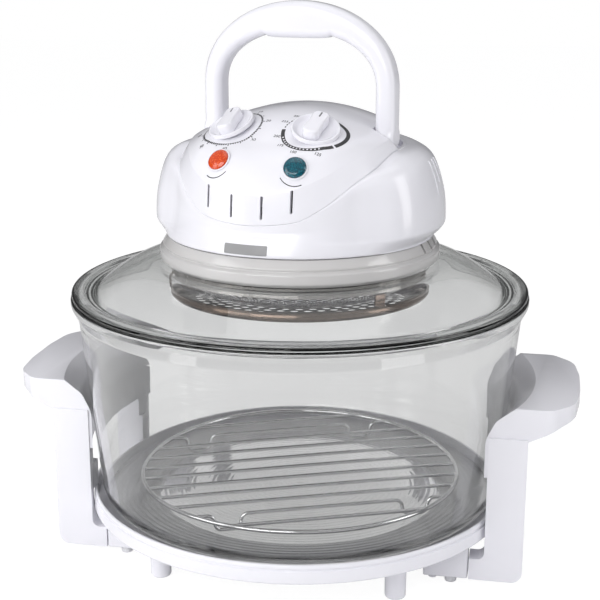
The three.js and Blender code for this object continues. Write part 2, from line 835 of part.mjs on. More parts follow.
// The raised control panel, filled down to the head's bottom. Shrunk by the wall it is the room inside,
// which is wider than the panel below the crease, so that the panel's wall ends there.
function makeCap(wall) {
  return loft((angle) => {
    const crease = bibRadius * along(creaseRadiusShares, angle);
    const creaseHeight = domeTop * along(creaseHeightShares, angle);
    const edge = bibRadius * along(ridgeRadiusShares, angle) - wall;
    const faceHeight = (radius) => panelHeight(radius * Math.sin(angle), -radius * Math.cos(angle)) - wall;
    const room = [[crease + overrun, headBottom - overrun], [crease + overrun, creaseHeight]];
    const foot = [[crease / 2, headBottom]];
    return [
      ...(wall > 0 ? room : foot),
      [crease - wall, creaseHeight],
      [edge, faceHeight(edge)],
      ...capShares.map((share) => [edge * share, faceHeight(edge * share)]),
    ];
  });
}

// Room beside the panel in which the handle's legs stand and fold back
function makeChannels(inner, front) {
  const pieces = [-1, 1].map((side) => {
    const xs = [side * inner, side * (wingRadius + overrun)].sort((a, b) => a - b);
    return block(...xs, -front, wingRadius, headBottom, panelTop + overrun);
  });
  return join(...pieces);
}

// Where a dial or lamp sits: a point on the panel's face and the direction square to it
function panelSeat(x, y) {
  const slopeX = (panelHeight(x + overrun, y) - panelHeight(x - overrun, y)) / (2 * overrun);
  const slopeY = (panelHeight(x, y + overrun) - panelHeight(x, y - overrun)) / (2 * overrun);
  const normal = new THREE.Vector3(-slopeX, -slopeY, 1).normalize();
  const seat = new THREE.Group();
  seat.position.set(x, y, panelHeight(x, y));
  seat.quaternion.setFromUnitVectors(new THREE.Vector3(0, 0, 1), normal);
  seat.updateMatrix();
  return seat;
}

const dialSeats = [-1, 1].map((side) => panelSeat(side * dialX, -dialY));
const lampSeats = [-1, 1].map((side) => panelSeat(side * lampX, -lampY));

function makeHeadShell() {
  const filled = makeDome(0, headBottom, true);
  const room = makeDome(-headWall, headBottom - overrun, false);
  const half = channelX - headWall + gap;
  const opening = slab(
    roundedRectangle(
      -half, half, openingFrontInset - bibRadius, bibRadius - openingRearInset, openingRounding,
    ),
    wingHeight, panelTop,
  );
  const glandHole = disc(glandRadius + gap, 0, wingRadius + overrun, smallSides);
  glandHole.rotateX(-Math.PI / 2).rotateZ(glandTurn).translate(0, 0, glandHeight);
  return cut(filled, room, opening, glandHole).translate(0, 0, lidRimTop);
}

function makeControlPanel() {
  const outside = cut(makeCap(0), makeChannels(channelX, channelFront));
  const inside = cut(makeCap(headWall), makeChannels(channelX - headWall, channelFront + headWall));
  const holes = [];
  for (const seat of dialSeats) {
    holes.push(disc(spindleRadius + gap, -knobRadius, knobRadius, smallSides).applyMatrix4(seat.matrix));
  }
  for (const seat of lampSeats) {
    const bore = disc(lampRadius - lampFlange + gap, -lampDepth, lampDepth, smallSides);
    holes.push(bore.applyMatrix4(seat.matrix));
  }
  const pinHole = disc(pinRadius + gap, -bibRadius, bibRadius, smallSides).rotateY(Math.PI / 2);
  holes.push(pinHole.translate(0, 0, carryPivot));
  const plungerHole = disc(plungerRadius + gap, 0, bibRadius, smallSides).rotateY(Math.PI / 2);
  holes.push(plungerHole.translate(0, 0, plungerHeight));
  for (const side of [-1, 1]) {
    for (const [x, bottom] of [[slitInnerX, slitInnerBottom], [slitOuterX, slitOuterBottom]]) {
      holes.push(block(
        side * x - slitWidth / 2, side * x + slitWidth / 2, -wingRadius, openingFrontInset - bibRadius,
        bottom, bottom + slitHeight,
      ));
    }
  }
  const shell = cut(outside, inside, makeDome(gap, headBottom, true), ...holes);
  return shell.translate(0, 0, lidRimTop);
}

// Carry handle: two legs and an arched grip, rounded where the legs turn on their pins
function makeCarryHandle() {
  const rise = carryTop - carryPivot;
  const legEnd = carryDepth / 2;
  const [shoulderX, shoulderZ] = [carryInnerX * innerShoulderShares[0], rise * innerShoulderShares[1]];
  const [gripX, gripZ] = [carryInnerX * innerGripShares[0], rise * innerGripShares[1]];
  const outline = new THREE.Shape();
  outline.moveTo(-carryOuterX, -legEnd);
  outline.lineTo(-carryInnerX, -legEnd);
  outline.lineTo(-carryInnerX, rise * innerLegShare);
  outline.bezierCurveTo(-carryInnerX, rise * innerBendShare, -shoulderX, shoulderZ, -gripX, gripZ);
  outline.quadraticCurveTo(0, rise - carryGripThickness, gripX, gripZ);
  outline.bezierCurveTo(
    shoulderX, shoulderZ, carryInnerX, rise * innerBendShare, carryInnerX, rise * innerLegShare,
  );
  outline.lineTo(carryInnerX, -legEnd);
  outline.lineTo(carryOuterX, -legEnd);
  outline.lineTo(carryOuterX, rise * outerLegShare);
  outline.bezierCurveTo(carryOuterX, rise * outerBendShare, carryOuterX * outerBowShare, rise, 0, rise);
  outline.bezierCurveTo(
    -carryOuterX * outerBowShare, rise, -carryOuterX, rise * outerBendShare,
    -carryOuterX, rise * outerLegShare,
  );
  outline.lineTo(-carryOuterX, -legEnd);
  const depth = carryDepth - 2 * carryChamfer;
  const arch = new THREE.ExtrudeGeometry(outline, {
    depth,
    bevelEnabled: true,
    bevelThickness: carryChamfer,
    bevelSize: carryChamfer,
    bevelOffset: -carryChamfer,
    bevelSegments: 2,
    curveSegments: fineCurveSteps,
  });
  arch.rotateX(Math.PI / 2).translate(0, depth / 2, 0);
  const roundEnd = disc(legEnd, -carryOuterX, carryOuterX, middleSides).rotateY(Math.PI / 2);
  const above = block(-carryOuterX, carryOuterX, -legEnd, legEnd, 0, rise + overrun);
  const allowed = join(roundEnd, above);
  const pinTip = channelX - headWall + pinLength;
  const bore = disc(pinRadius + gap, -pinTip, pinTip, smallSides).rotateY(Math.PI / 2);
  return cut(common(arch, allowed), bore);
}

function makePin() {
  return disc(pinRadius, 0, pinLength, smallSides).rotateY(Math.PI / 2);
}

// Knob: round skirt with a bar to grip, on its spindle
function makeKnob() {
  const skirt = revolve([
    [0, knobLift],
    [knobRadius, knobLift],
    [knobRadius, knobLift + knobHeight / 2],
    [knobRadius - knobHeight / 2, knobLift + knobHeight],
    [0, knobLift + knobHeight],
  ], middleSides);
  const half = knobFinLength / 2;
  const bar = slab(
    roundedRectangle(-knobFinWidth / 2, knobFinWidth / 2, -half, half, knobFinRounding),
    knobLift + knobHeight / 2, knobLift + knobHeight + knobFinHeight, arcSteps,
  );
  return join(skirt, bar);
}

function makeSpindle() {
  return disc(spindleRadius, -spindleLength, knobLift - gap, smallSides);
}

function makeLamp() {
  return revolve([
    [0, -lampDepth],
    [lampRadius - lampFlange, -lampDepth],
    [lampRadius - lampFlange, gap],
    [lampRadius, gap],
    [lampRadius, gap + lampFlange],
    [lampRadius * lampShoulderShare, gap + lampFlange + lampDome * lampShoulderShare],
    [0, gap + lampFlange + lampDome],
  ], smallSides);
}

// Heat shield plate that carries the works, and the reflector under it
function makeShieldPlate() {
  const plate = ring(shieldRadius, shaftHole, shieldBottom, shieldBottom + shieldThickness);
  return plate.translate(0, 0, lidRimTop);
}

function makeReflector() {
  return revolve([
    [shaftHole, reflectorTop - sheet],
    [reflectorRadius - sheet, reflectorTop - sheet],
    [reflectorRadius, reflectorTop - reflectorHeight],
    [reflectorRadius + sheet, reflectorTop - reflectorHeight],
    [reflectorRadius + sheet, reflectorTop],
    [shaftHole, reflectorTop],
    [shaftHole, reflectorTop - sheet],
  ]).translate(0, 0, lidRimTop);
}

// Halogen tube: an open ring, its two ends held in ceramic caps under the reflector
function makeHalogenTube() {
  const sweep = 2 * Math.PI - tubeGapAngle;
  const start = Math.PI / 2 + tubeGapAngle / 2;
  const points = [];
  const faces = [];
  for (let i = 0; i <= tubeSteps; i += 1) {
    const angle = start + sweep * i / tubeSteps;
    for (let k = 0; k < tubeSides; k += 1) {
      const turn = k * 2 * Math.PI / tubeSides;
      const radius = tubeRingRadius + tubeRadius * Math.cos(turn);
      const height = tubeHeight + tubeRadius * Math.sin(turn);
      points.push(radius * Math.cos(angle), radius * Math.sin(angle), height);
    }
  }
  for (let i = 0; i < tubeSteps; i += 1) {
    for (let k = 0; k < tubeSides; k += 1) {
      const a = i * tubeSides + k;
      const b = i * tubeSides + (k + 1) % tubeSides;
      faces.push(a, a + tubeSides, b + tubeSides, a, b + tubeSides, b);
    }
  }
  for (let k = 1; k < tubeSides - 1; k += 1) {
    faces.push(0, k, k + 1);
    const last = tubeSteps * tubeSides;
    faces.push(last, last + k + 1, last + k);
  }
  const geometry = new THREE.BufferGeometry();
  geometry.setAttribute('position', new THREE.Float32BufferAttribute(points, 3));
  geometry.setIndex(faces);
  return geometry.translate(0, 0, lidRimTop);
}

function makeTubeCap(side) {
  const top = reflectorTop - sheet - gap;
  const ends = [side * gap, side * (gap + capLength)].sort((x, y) => x - y);
  const cap = block(...ends, -capWidth / 2, capWidth / 2, tubeHeight - tubeRadius - gap, top);
  cap.translate(0, tubeRingRadius, 0).rotateZ(side * tubeGapAngle / 2);
  return cap.translate(0, 0, lidRimTop);
}

// Heater guard: perforated plate with an upturned rim, hung on posts from the clamp ring
function makeGuard() {
  const dish = revolve([
    [0, guardBottom],
    [guardRadius - sheet, guardBottom],
    [guardRadius, guardBottom + sheet],
    [guardRadius, guardTop],
    [guardRadius - sheet * 2, guardTop],
    [guardRadius - sheet * 2, guardBottom + sheet],
    [0, guardBottom + sheet],
  ]);
  const holes = [];
  for (let ringIndex = 1; ringIndex <= guardRings; ringIndex += 1) {
    const radius = ringIndex * guardRingPitch;
    const count = Math.round(2 * Math.PI * radius / guardHolePitch);
    for (let i = 0; i < count; i += 1) {
      const angle = (i + ringIndex / 2) * 2 * Math.PI / count;
      const hole = disc(guardHoleRadius, guardBottom - overrun, guardBottom + overrun, guardHoleSides);
      holes.push(hole.translate(radius * Math.cos(angle), radius * Math.sin(angle), 0));
    }
  }
  return cut(dish, ...holes).translate(0, 0, lidRimTop);
}

function makePost(angle) {
  const bottom = guardTop + gap;
  const top = clampBottom - gap;
  const outer = guardRadius;
  const strip = block(
    outer - postThickness, outer, -postWidth / 2, postWidth / 2, bottom, top,
  );
  const foot = block(
    outer - postFlange, outer, -postWidth / 2, postWidth / 2, top - postThickness, top,
  );
  return join(strip, foot).rotateZ(angle).translate(0, 0, lidRimTop);
}

// Fan: hub with twisted blades
function makeFan(radius, bottom, height) {
  const pieces = [ring(fanHubRadius, shaftRadius + gap, bottom, bottom + height, smallSides)];
  const inner = fanHubRadius - bladeThickness;
  for (let i = 0; i < fanBlades; i += 1) {
    const blade = block(
      inner, radius, -bladeThickness / 2, bladeThickness / 2, -height / 2, height / 2,
    );
    blade.rotateX(bladeTwist).translate(0, 0, bottom + height / 2);
    const allowed = disc(radius, bottom, bottom + height);
    pieces.push(common(blade, allowed).rotateZ(i * 2 * Math.PI / fanBlades));
  }
  return join(...pieces).translate(0, 0, lidRimTop);
}

function makeShaft() {
  const top = motorBottom + motorHeight + fanHubHeight / 2;
  return disc(shaftRadius, shaftBottom, top, smallSides).translate(0, 0, lidRimTop);
}

function makeMotor() {
  const top = motorBottom + motorHeight;
  const body = ring(motorRadius, shaftRadius + gap, motorBottom, top, middleSides);
  const coil = block(
    -coilWidth / 2, coilWidth / 2, motorRadius - overrun, motorRadius + coilLength,
    motorBottom, motorBottom + motorHeight,
  );
  const bearing = ring(fanHubRadius, shaftRadius + gap, top - overrun, top + overrun, smallSides);
  return join(body, coil, bearing).translate(0, 0, lidRimTop);
}

function makeMotorBracket() {
  const floor = shieldBottom + shieldThickness + gap;
  const top = motorBottom - gap;
  const half = bracketSpan / 2;
  const width = bracketWidth / 2;
  const bridge = block(-half, half, -width, width, top - bracketSheet, top);
  const legs = [-1, 1].flatMap((side) => {
    const xs = [side * half, side * (half - bracketSheet)].sort((a, b) => a - b);
    const feet = [side * half, side * (half + bracketWidth / 2)].sort((a, b) => a - b);
    const inwards = feet.map((x) => x - side * bracketSheet);
    return [
      block(...xs, -width, width, floor, top),
      block(...inwards, -width, width, floor, floor + bracketSheet),
    ];
  });
  const hole = disc(shaftHole, top - bracketSheet - overrun, top + overrun, smallSides);
  return cut(join(bridge, ...legs), hole).translate(0, 0, lidRimTop);
}

// Timer and thermostat bodies hang under the panel on their spindles
function makeTimerBody() {
  const half = timerWidth / 2;
  const top = -headWall - spindleSeat;
  const outline = roundedRectangle(-half, half, -half, half, timerRounding);
  const body = slab(outline, top - timerDepth, top, arcSteps);
  return cut(body, disc(spindleRadius + gap, -spindleLength - gap, 0, smallSides));
}

function makeThermostatBody() {
  const top = -headWall - spindleSeat;
  const body = disc(thermostatRadius, top - thermostatDepth, top, middleSides);
  return cut(body, disc(spindleRadius + gap, -spindleLength - gap, 0, smallSides));
}

// Safety switch beside the handle pin, with its plunger that reaches the handle's leg
function makeSafetySwitch() {
  const right = channelX - headWall - gap;
  const body = block(
    right - switchLength, right, -switchWidth / 2, switchWidth / 2,
    plungerHeight - switchHeight / 2 - pinRadius, plungerHeight + plungerRadius,
  );
  const bore = disc(plungerRadius + gap, right - plungerLength, right + overrun, smallSides);
  return cut(body, bore.rotateY(Math.PI / 2).translate(0, 0, plungerHeight)).translate(0, 0, lidRimTop);
}

function makePlunger() {
  const tip = carryInnerX - gap;
  return disc(plungerRadius, tip - plungerLength, tip, smallSides)
    .rotateY(Math.PI / 2).translate(0, 0, lidRimTop + plungerHeight);
}

// Terminal block on the heat shield, and the cable gland in the back of the housing
function makeTerminalBlock() {
  const floor = shieldBottom + shieldThickness + gap;
  const base = block(
    -terminalLength / 2, terminalLength / 2,
    motorRadius + coilLength, motorRadius + coilLength + terminalWidth,
    floor, floor + terminalHeight,
  );
  return base.translate(0, 0, lidRimTop);
}

function makeGland() {
  const wall = wingRadius;
  const outer = ring(glandRadius, glandBore, wall - glandLength, wall + glandLength / 2, smallSides);
  const flange = ring(glandFlange, glandBore, wall + gap, wall + overrun, smallSides);
  const gland = join(outer, flange).rotateX(-Math.PI / 2).rotateZ(glandTurn);
  return gland.translate(0, 0, lidRimTop + glandHeight);
}

// Assembly: base with the bowl and rack, then the lid group that is turned on the bowl
const oven = new THREE.Group();
oven.add(named('base_ring', makeBaseRing(), finish.white));

const sideHandle = makeSideHandle();
oven.add(named('side_handle_right', sideHandle, finish.white));
const leftHandle = named('side_handle_left', sideHandle, finish.white);
leftHandle.rotation.z = Math.PI;
oven.add(leftHandle);

for (const [endName, end] of [['front', -1], ['rear', 1]]) {
  for (const [sideName, side] of [['left', -1], ['right', 1]]) {
    const foot = named(`foot_${endName}_${sideName}`, makeFoot(), finish.white);
    const footCircle = ledgeInnerRadius + footInset;
    foot.position.set(side * footCircle * Math.cos(footAngle), end * footCircle * Math.sin(footAngle), 0);
    oven.add(foot);
    const pad = named(`pad_${endName}_${sideName}`, makePad(), finish.rubber);
    pad.position.set(side * (armInnerX - padInset), end * (legOuterY - legThickness / 2), 0);
    oven.add(pad);
  }
}

oven.add(named('glass_bowl', makeBowl(), finish.clearGlass));

const rack = named('wire_rack', makeRack(), finish.chrome);
rack.rotation.z = rackTurn;
oven.add(rack);

const lid = new THREE.Group();
lid.rotation.z = lidTurn;
oven.add(lid);
lid.add(named('lid_glass', makeLidGlass(), finish.clearGlass));
lid.add(named('lid_collar', makeCollar(), finish.warmWhite));
lid.add(named('clamp_ring', makeClampRing(), finish.steel));
lid.add(named('head_shell', makeHeadShell(), finish.white));
lid.add(named('control_panel', makeControlPanel(), finish.white));
lid.add(named('heat_shield', makeShieldPlate(), finish.steel));
lid.add(named('reflector', makeReflector(), finish.steel));
lid.add(named('halogen_tube', makeHalogenTube(), finish.quartz));
lid.add(named('tube_cap_left', makeTubeCap(1), finish.ceramic));
lid.add(named('tube_cap_right', makeTubeCap(-1), finish.ceramic));
lid.add(named('heater_guard', makeGuard(), finish.steel));
for (const [index, degrees] of postDegrees.entries()) {
  const post = makePost(THREE.MathUtils.degToRad(degrees));
  lid.add(named(`guard_post_${index + 1}`, post, finish.darkSteel));
}
lid.add(named('fan_motor', makeMotor(), finish.steel));
lid.add(named('motor_bracket', makeMotorBracket(), finish.steel));
lid.add(named('fan_shaft', makeShaft(), finish.steel));
lid.add(named(
  'convection_fan', makeFan(convectionFanRadius, convectionFanBottom, fanHubHeight), finish.steel,
));
lid.add(named('cooling_fan', makeFan(coolingFanRadius, coolingFanBottom, fanHubHeight), finish.black));
lid.add(named('safety_switch', makeSafetySwitch(), finish.black));
lid.add(named('switch_plunger', makePlunger(), finish.warmWhite));
lid.add(named('terminal_block', makeTerminalBlock(), finish.ceramic));
lid.add(named('cable_gland', makeGland(), finish.black));

const dialParts = [['timer', makeTimerBody()], ['thermostat', makeThermostatBody()]];
const lampParts = [['power_lamp', finish.orangeLens], ['heat_lamp', finish.tealLens]];
for (let i = 0; i < 2; i += 1) {
  const [dialName, body] = dialParts[i];
  const seat = dialSeats[i];
  seat.position.z += lidRimTop;
  seat.add(named(`${dialName}_knob`, makeKnob(), finish.white));
  seat.add(named(`${dialName}_spindle`, makeSpindle(), finish.steel));
  seat.add(named(`${dialName}_body`, body, finish.black));
  lid.add(seat);
  const lampSeat = lampSeats[i];
  lampSeat.position.z += lidRimTop;
  lampSeat.add(named(lampParts[i][0], makeLamp(), lampParts[i][1]));
  lid.add(lampSeat);
}

const carry = named('carry_handle', makeCarryHandle(), finish.white);
carry.position.z = lidRimTop + carryPivot;
lid.add(carry);
for (const [sideName, side] of [['left', -1], ['right', 1]]) {
  const pin = named(`handle_pin_${sideName}`, makePin(), finish.steel);
  const inner = channelX - headWall - gap;
  pin.position.set(side > 0 ? inner : -inner - pinLength, 0, lidRimTop + carryPivot);
  lid.add(pin);
}

export default oven;
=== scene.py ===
# Halogen oven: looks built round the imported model, in metres, with lengths written in millimetres.
import json
import math

import bmesh
import bpy
from mathutils import Matrix, Vector


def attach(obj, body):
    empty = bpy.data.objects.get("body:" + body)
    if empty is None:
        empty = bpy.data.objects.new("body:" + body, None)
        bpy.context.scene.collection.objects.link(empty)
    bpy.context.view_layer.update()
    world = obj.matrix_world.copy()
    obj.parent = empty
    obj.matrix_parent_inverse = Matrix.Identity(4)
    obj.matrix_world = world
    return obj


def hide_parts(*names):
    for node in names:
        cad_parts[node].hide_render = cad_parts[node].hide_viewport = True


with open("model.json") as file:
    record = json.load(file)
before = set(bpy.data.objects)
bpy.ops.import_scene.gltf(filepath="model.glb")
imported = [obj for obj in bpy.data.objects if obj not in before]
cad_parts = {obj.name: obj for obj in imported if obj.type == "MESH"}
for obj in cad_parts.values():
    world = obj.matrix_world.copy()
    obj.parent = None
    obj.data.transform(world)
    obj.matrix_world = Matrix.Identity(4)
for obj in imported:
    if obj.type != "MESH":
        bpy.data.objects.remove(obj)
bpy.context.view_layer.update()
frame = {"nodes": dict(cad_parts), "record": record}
mm = 0.001
full_turn = 2 * math.pi
quarter_turn = math.pi / 2
tiny = 1e-9

# Driving dimensions, the same as the solids have
lid_rim_top = 202
lid_turn = math.radians(-12)
rack_turn = math.radians(23)
lid_thickness = 4.3
gap = 0.3
round_sides = 48
fine = 144
very_fine = 180


# Shape tools: outlines with rounded corners, turned, swept and lofted meshes
straight_corner = math.radians(178)
longest_share = 0.49


def arc_corner(before, corner, after, radius, steps):
    """Points of the round corner between two straight runs."""
    a, b, c = (Vector(point) for point in (before, corner, after))
    to_a = a - b
    to_c = c - b
    if radius <= 0 or min(to_a.length, to_c.length) < tiny:
        return [tuple(b)]
    angle = to_a.angle(to_c)
    if angle > straight_corner:
        return [tuple(b)]
    reach = min(radius / math.tan(angle / 2), longest_share * to_a.length, longest_share * to_c.length)
    radius = reach * math.tan(angle / 2)
    start = b + to_a.normalized() * reach
    end = b + to_c.normalized() * reach
    centre = b + (to_a.normalized() + to_c.normalized()).normalized() * (radius / math.sin(angle / 2))
    points = []
    for i in range(steps + 1):
        ray = (start - centre).lerp(end - centre, i / steps)
        points.append(tuple(centre + ray.normalized() * radius))
    return points


def rounded(points, radius, steps=4, closed=True):
    """Outline with every corner rounded. A point with a third value has a radius of its own."""
    flat = [point[:2] for point in points]
    out = []
    for i, point in enumerate(points):
        own = point[2] if len(point) > 2 else radius
        if not closed and i in (0, len(points) - 1):
            out.append(tuple(flat[i]))
        else:
            out += arc_corner(flat[i - 1], flat[i], flat[(i + 1) % len(flat)], own, steps)
    return out


def linked(name, data):
    """New object with this data, in the scene."""
    made = bpy.data.objects.new(name, data)
    bpy.context.scene.collection.objects.link(made)
    return made


def shade(made, sharp):
    made.data.shade_smooth()
    made.data.set_sharp_from_angle(angle=math.radians(sharp))


def make_object(name, points, faces, sharp=40):
    """Mesh object from points in millimetres, shaded smooth below the sharp angle."""
    mesh = bpy.data.meshes.new(name)
    mesh.from_pydata([tuple(value * mm for value in point) for point in points], [], faces)
    made = linked(name, mesh)
    tidy(made, sharp)
    return made


def tidy(made, sharp):
    """Merges doubled points, turns the faces outwards and sets the shading."""
    work = bmesh.new()
    work.from_mesh(made.data)
    bmesh.ops.remove_doubles(work, verts=work.verts, dist=1e-6)
    bmesh.ops.recalc_face_normals(work, faces=work.faces)
    work.to_mesh(made.data)
    work.free()
    shade(made, sharp)


def polar(radius, angle, height=0):
    return (radius * math.cos(angle), radius * math.sin(angle), height)


def moved(x, y, z=0):
    return Matrix.Translation((x * mm, y * mm, z * mm))


def spun(angle):
    return Matrix.Rotation(angle, 4, "Z")


to_lid = spun(lid_turn) @ moved(0, 0, lid_rim_top)
upright = Matrix.Rotation(quarter_turn, 4, "X")


def skin_faces(rows, count, wrap_rows, wrap_points):
    """Faces between rows of points that have the same count."""
    faces = []
    for i in range(rows if wrap_rows else rows - 1):
        a = i * count
        b = (i + 1) % rows * count
        for k in range(count if wrap_points else count - 1):
            k2 = (k + 1) % count
            faces.append((a + k, b + k, b + k2, a + k2))
    return faces


def end_faces(rows, count):
    return [tuple(range(count)), tuple(reversed(range((rows - 1) * count, rows * count)))]


def lathe(name, profile, sides=fine, sharp=40):
    """Profile of radius and height pairs turned about Z. It closes on itself or ends on the axis."""
    turns = [full_turn * i / sides for i in range(sides)]
    points = [polar(radius, turn, height) for turn in turns for radius, height in profile]
    on_axis = max(profile[0][0], profile[-1][0]) < tiny
    faces = skin_faces(sides, len(profile), True, not on_axis)
    return make_object(name, points, clean_faces(points, faces), sharp)


def clean_faces(points, faces):
    """Faces without the doubled corners that lie on the axis."""
    spots = [tuple(round(value, 5) for value in point) for point in points]
    out = []
    for face in faces:
        kept = []
        for index in face:
            if all(spots[index] != spots[other] for other in kept):
                kept.append(index)
        if len(kept) > 2:
            out.append(tuple(kept))
    return out


def circle(radius, sides=12):
    return [polar(radius, full_turn * i / sides)[:2] for i in range(sides)]


def wire(name, path, radius, closed=False, up=(0, 0, 1), sides=16):
    """Round wire along a path of points, with flat ends."""
    section = circle(radius, sides)
    count = len(path)
    points = []
    for i, point in enumerate(path):
        before = Vector(path[i - 1]) if (i > 0 or closed) else Vector(point)
        after = Vector(path[(i + 1) % count]) if (i < count - 1 or closed) else Vector(point)
        ahead = (after - before).normalized()
        side = ahead.cross(Vector(up)).normalized()
        rise = side.cross(ahead).normalized()
        points += [tuple(Vector(point) + side * u + rise * v) for u, v in section]
    faces = skin_faces(count, sides, closed, True)
    if not closed:
        faces += end_faces(count, sides)
    return make_object(name, points, faces, 60)


def rectangle(width, height, radius, steps=4):
    """Rounded rectangle about the middle."""
    half_w = width / 2
    half_h = height / 2
    corners = [(-half_w, -half_h), (half_w, -half_h), (half_w, half_h), (-half_w, half_h)]
    return rounded(corners, radius, steps)


def prism(name, outline, low, high, edge=0.0, edge_steps=3, sharp=40):
    """Outline in X and Y drawn up from low to high, with rounded top and bottom edges."""
    levels = []
    if edge > 0:
        for i in range(edge_steps + 1):
            turn = quarter_turn * i / edge_steps
            levels.append((low + edge - edge * math.cos(turn), edge - edge * math.sin(turn)))
        levels += [(high - (height - low), inset) for height, inset in reversed(levels)]
    else:
        levels = [(low, 0.0), (high, 0.0)]
    points = []
    for height, inset in levels:
        points += [(x, y, height) for x, y in shrink(outline, inset)]
    count = len(outline)
    faces = [tuple(reversed(range(count)))]
    for level in range(len(levels) - 1):
        for k in range(count):
            k2 = (k + 1) % count
            a = level * count
            faces.append((a + k, a + k2, a + count + k2, a + count + k))
    last = (len(levels) - 1) * count
    faces.append(tuple(range(last, last + count)))
    return make_object(name, points, faces, sharp)


def shrink(outline, inset):
    """Outline moved inwards, corner by corner."""
    if inset == 0:
        return list(outline)
    out = []
    count = len(outline)
    for i in range(count):
        a, b, c = (Vector(outline[k % count]) for k in (i - 1, i, i + 1))
        first = (b - a).normalized() if (b - a).length > tiny else (c - b).normalized()
        second = (c - b).normalized() if (c - b).length > tiny else first
        normal = Vector((-first.y - second.y, first.x + second.x))
        normal = normal.normalized() if normal.length > tiny else Vector((-first.y, first.x))
        share = max(normal.dot(Vector((-first.y, first.x))), 0.35)
        out.append(tuple(b + normal * inset / share))
    return out


def place(made, matrix):
    """Moves a mesh's own points, so that its object stays at the origin."""
    made.data.transform(matrix)
    made.data.update()


def shown_mesh(made):
    """New mesh of an object as it is shown, with its modifiers."""
    shown = made.evaluated_get(bpy.context.evaluated_depsgraph_get())
    return bpy.data.meshes.new_from_object(shown)


def apply_modifiers(made):
    mesh = shown_mesh(made)
    made.modifiers.clear()
    made.data = mesh


def boolean(made, tools, operation="DIFFERENCE"):
    """Cuts or joins with each tool, which is deleted afterwards."""
    for tool in tools:
        step = made.modifiers.new("cut", "BOOLEAN")
        step.operation = operation
        step.solver = "EXACT"
        step.object = tool
        apply_modifiers(made)
        bpy.data.objects.remove(tool)


def joined(name, parts, sharp=40):
    """One object from several, which are deleted."""
    work = bmesh.new()
    for part in parts:
        mesh = part.data.copy()
        mesh.transform(part.matrix_world)
        work.from_mesh(mesh)
        bpy.data.meshes.remove(mesh)
        bpy.data.objects.remove(part)
    mesh = bpy.data.meshes.new(name)
    work.to_mesh(mesh)
    work.free()
    made = linked(name, mesh)
    shade(made, sharp)
    return made


def bevelled(made, width, steps, angle):
    """Rounds the sharp edges left by cuts."""
    step = made.modifiers.new("edge", "BEVEL")
    step.width = width * mm
    step.segments = steps
    step.limit_method = "ANGLE"
    step.angle_limit = math.radians(angle)
    apply_modifiers(made)
    shade(made, 40)


def box(name, x0, x1, y0, y1, z0, z1):
    outline = [(x0, y0), (x1, y0), (x1, y1), (x0, y1)]
    return prism(name, outline, z0, z1, sharp=20)


# Materials: one function for each finish, with its surface variation in the shader
noise_range = (0.3, 0.7)


def new_material(name):
    material = bpy.data.materials.new(name)
    material.use_nodes = True
    return material, material.node_tree, material.node_tree.nodes["Principled BSDF"]


def set_values(node, values):
    for socket, value in values.items():
        node.inputs[socket].default_value = value


def add_node(tree, kind, values=None, **settings):
    """Shader node with its settings and the values of its sockets."""
    made = tree.nodes.new("ShaderNode" + kind)
    for name, value in settings.items():
        setattr(made, name, value)
    set_values(made, values or {})
    return made


def textured(tree, kind, values):
    """Texture in the object's own space."""
    space = add_node(tree, "TexCoord")
    made = add_node(tree, kind, values)
    tree.links.new(space.outputs["Object"], made.inputs["Vector"])
    return made.outputs


def noise(tree, scale, detail):
    return textured(tree, "TexNoise", {"Scale": scale, "Detail": detail, "Roughness": 0.5})["Fac"]


def ramp(tree, source, low, high, low_value, high_value):
    """Maps a texture's value to a range of its own."""
    values = {"From Min": low, "From Max": high, "To Min": low_value, "To Max": high_value}
    made = add_node(tree, "MapRange", values)
    tree.links.new(source, made.inputs["Value"])
    return made.outputs["Result"]


def tint(tree, shader, source, first, second):
    """Colour that drifts between two tones with a texture."""
    made = add_node(tree, "Mix", {"A": (*first, 1), "B": (*second, 1)}, data_type="RGBA")
    tree.links.new(source, made.inputs["Factor"])
    tree.links.new(made.outputs["Result"], shader.inputs["Base Color"])


def bump(tree, shader, source, strength, distance):
    made = add_node(tree, "Bump", {"Strength": strength, "Distance": distance})
    tree.links.new(source, made.inputs["Height"])
    tree.links.new(made.outputs["Normal"], shader.inputs["Normal"])


def plastic(name, first, second, rough, coat=0.0, grain=0.02):
    """Glossy moulded plastic: faint tone drift, flow marks in the gloss and a trace of orange peel."""
    material, tree, shader = new_material(name)
    tint(tree, shader, noise(tree, 14, 3), first, second)
    spread = ramp(tree, noise(tree, 60, 4), *noise_range, rough * 0.85, rough * 1.2)
    tree.links.new(spread, shader.inputs["Roughness"])
    bump(tree, shader, noise(tree, 900, 2), grain, 0.0002)
    set_values(shader, {"IOR": 1.5, "Coat Weight": coat, "Coat Roughness": 0.08})
    return material


def metal(name, first, second, rough, brushed):
    """Metal with uneven polish and fine drawing lines."""
    material, tree, shader = new_material(name)
    tint(tree, shader, noise(tree, 30, 4), first, second)
    set_values(shader, {"Metallic": 1.0})
    spread = ramp(tree, noise(tree, 120, 5), *noise_range, rough * 0.7, rough * 1.4)
    tree.links.new(spread, shader.inputs["Roughness"])
    if brushed > 0:
        bump(tree, shader, noise(tree, 500, 2), brushed, 0.0003)
    return material


def glass(name, colour, density, ripple=0.02):
    """Clear pressed glass: slightly uneven surface and a body colour that shows where it is thick."""
    material, tree, shader = new_material(name)
    set_values(shader, {"Base Color": (1, 1, 1, 1), "Transmission Weight": 1, "IOR": 1.47, "Roughness": 0})
    bump(tree, shader, noise(tree, 9, 2), ripple, 0.004)
    body = add_node(tree, "VolumeAbsorption", {"Color": (*colour, 1), "Density": density})
    tree.links.new(body.outputs["Volume"], tree.nodes["Material Output"].inputs["Volume"])
    return material


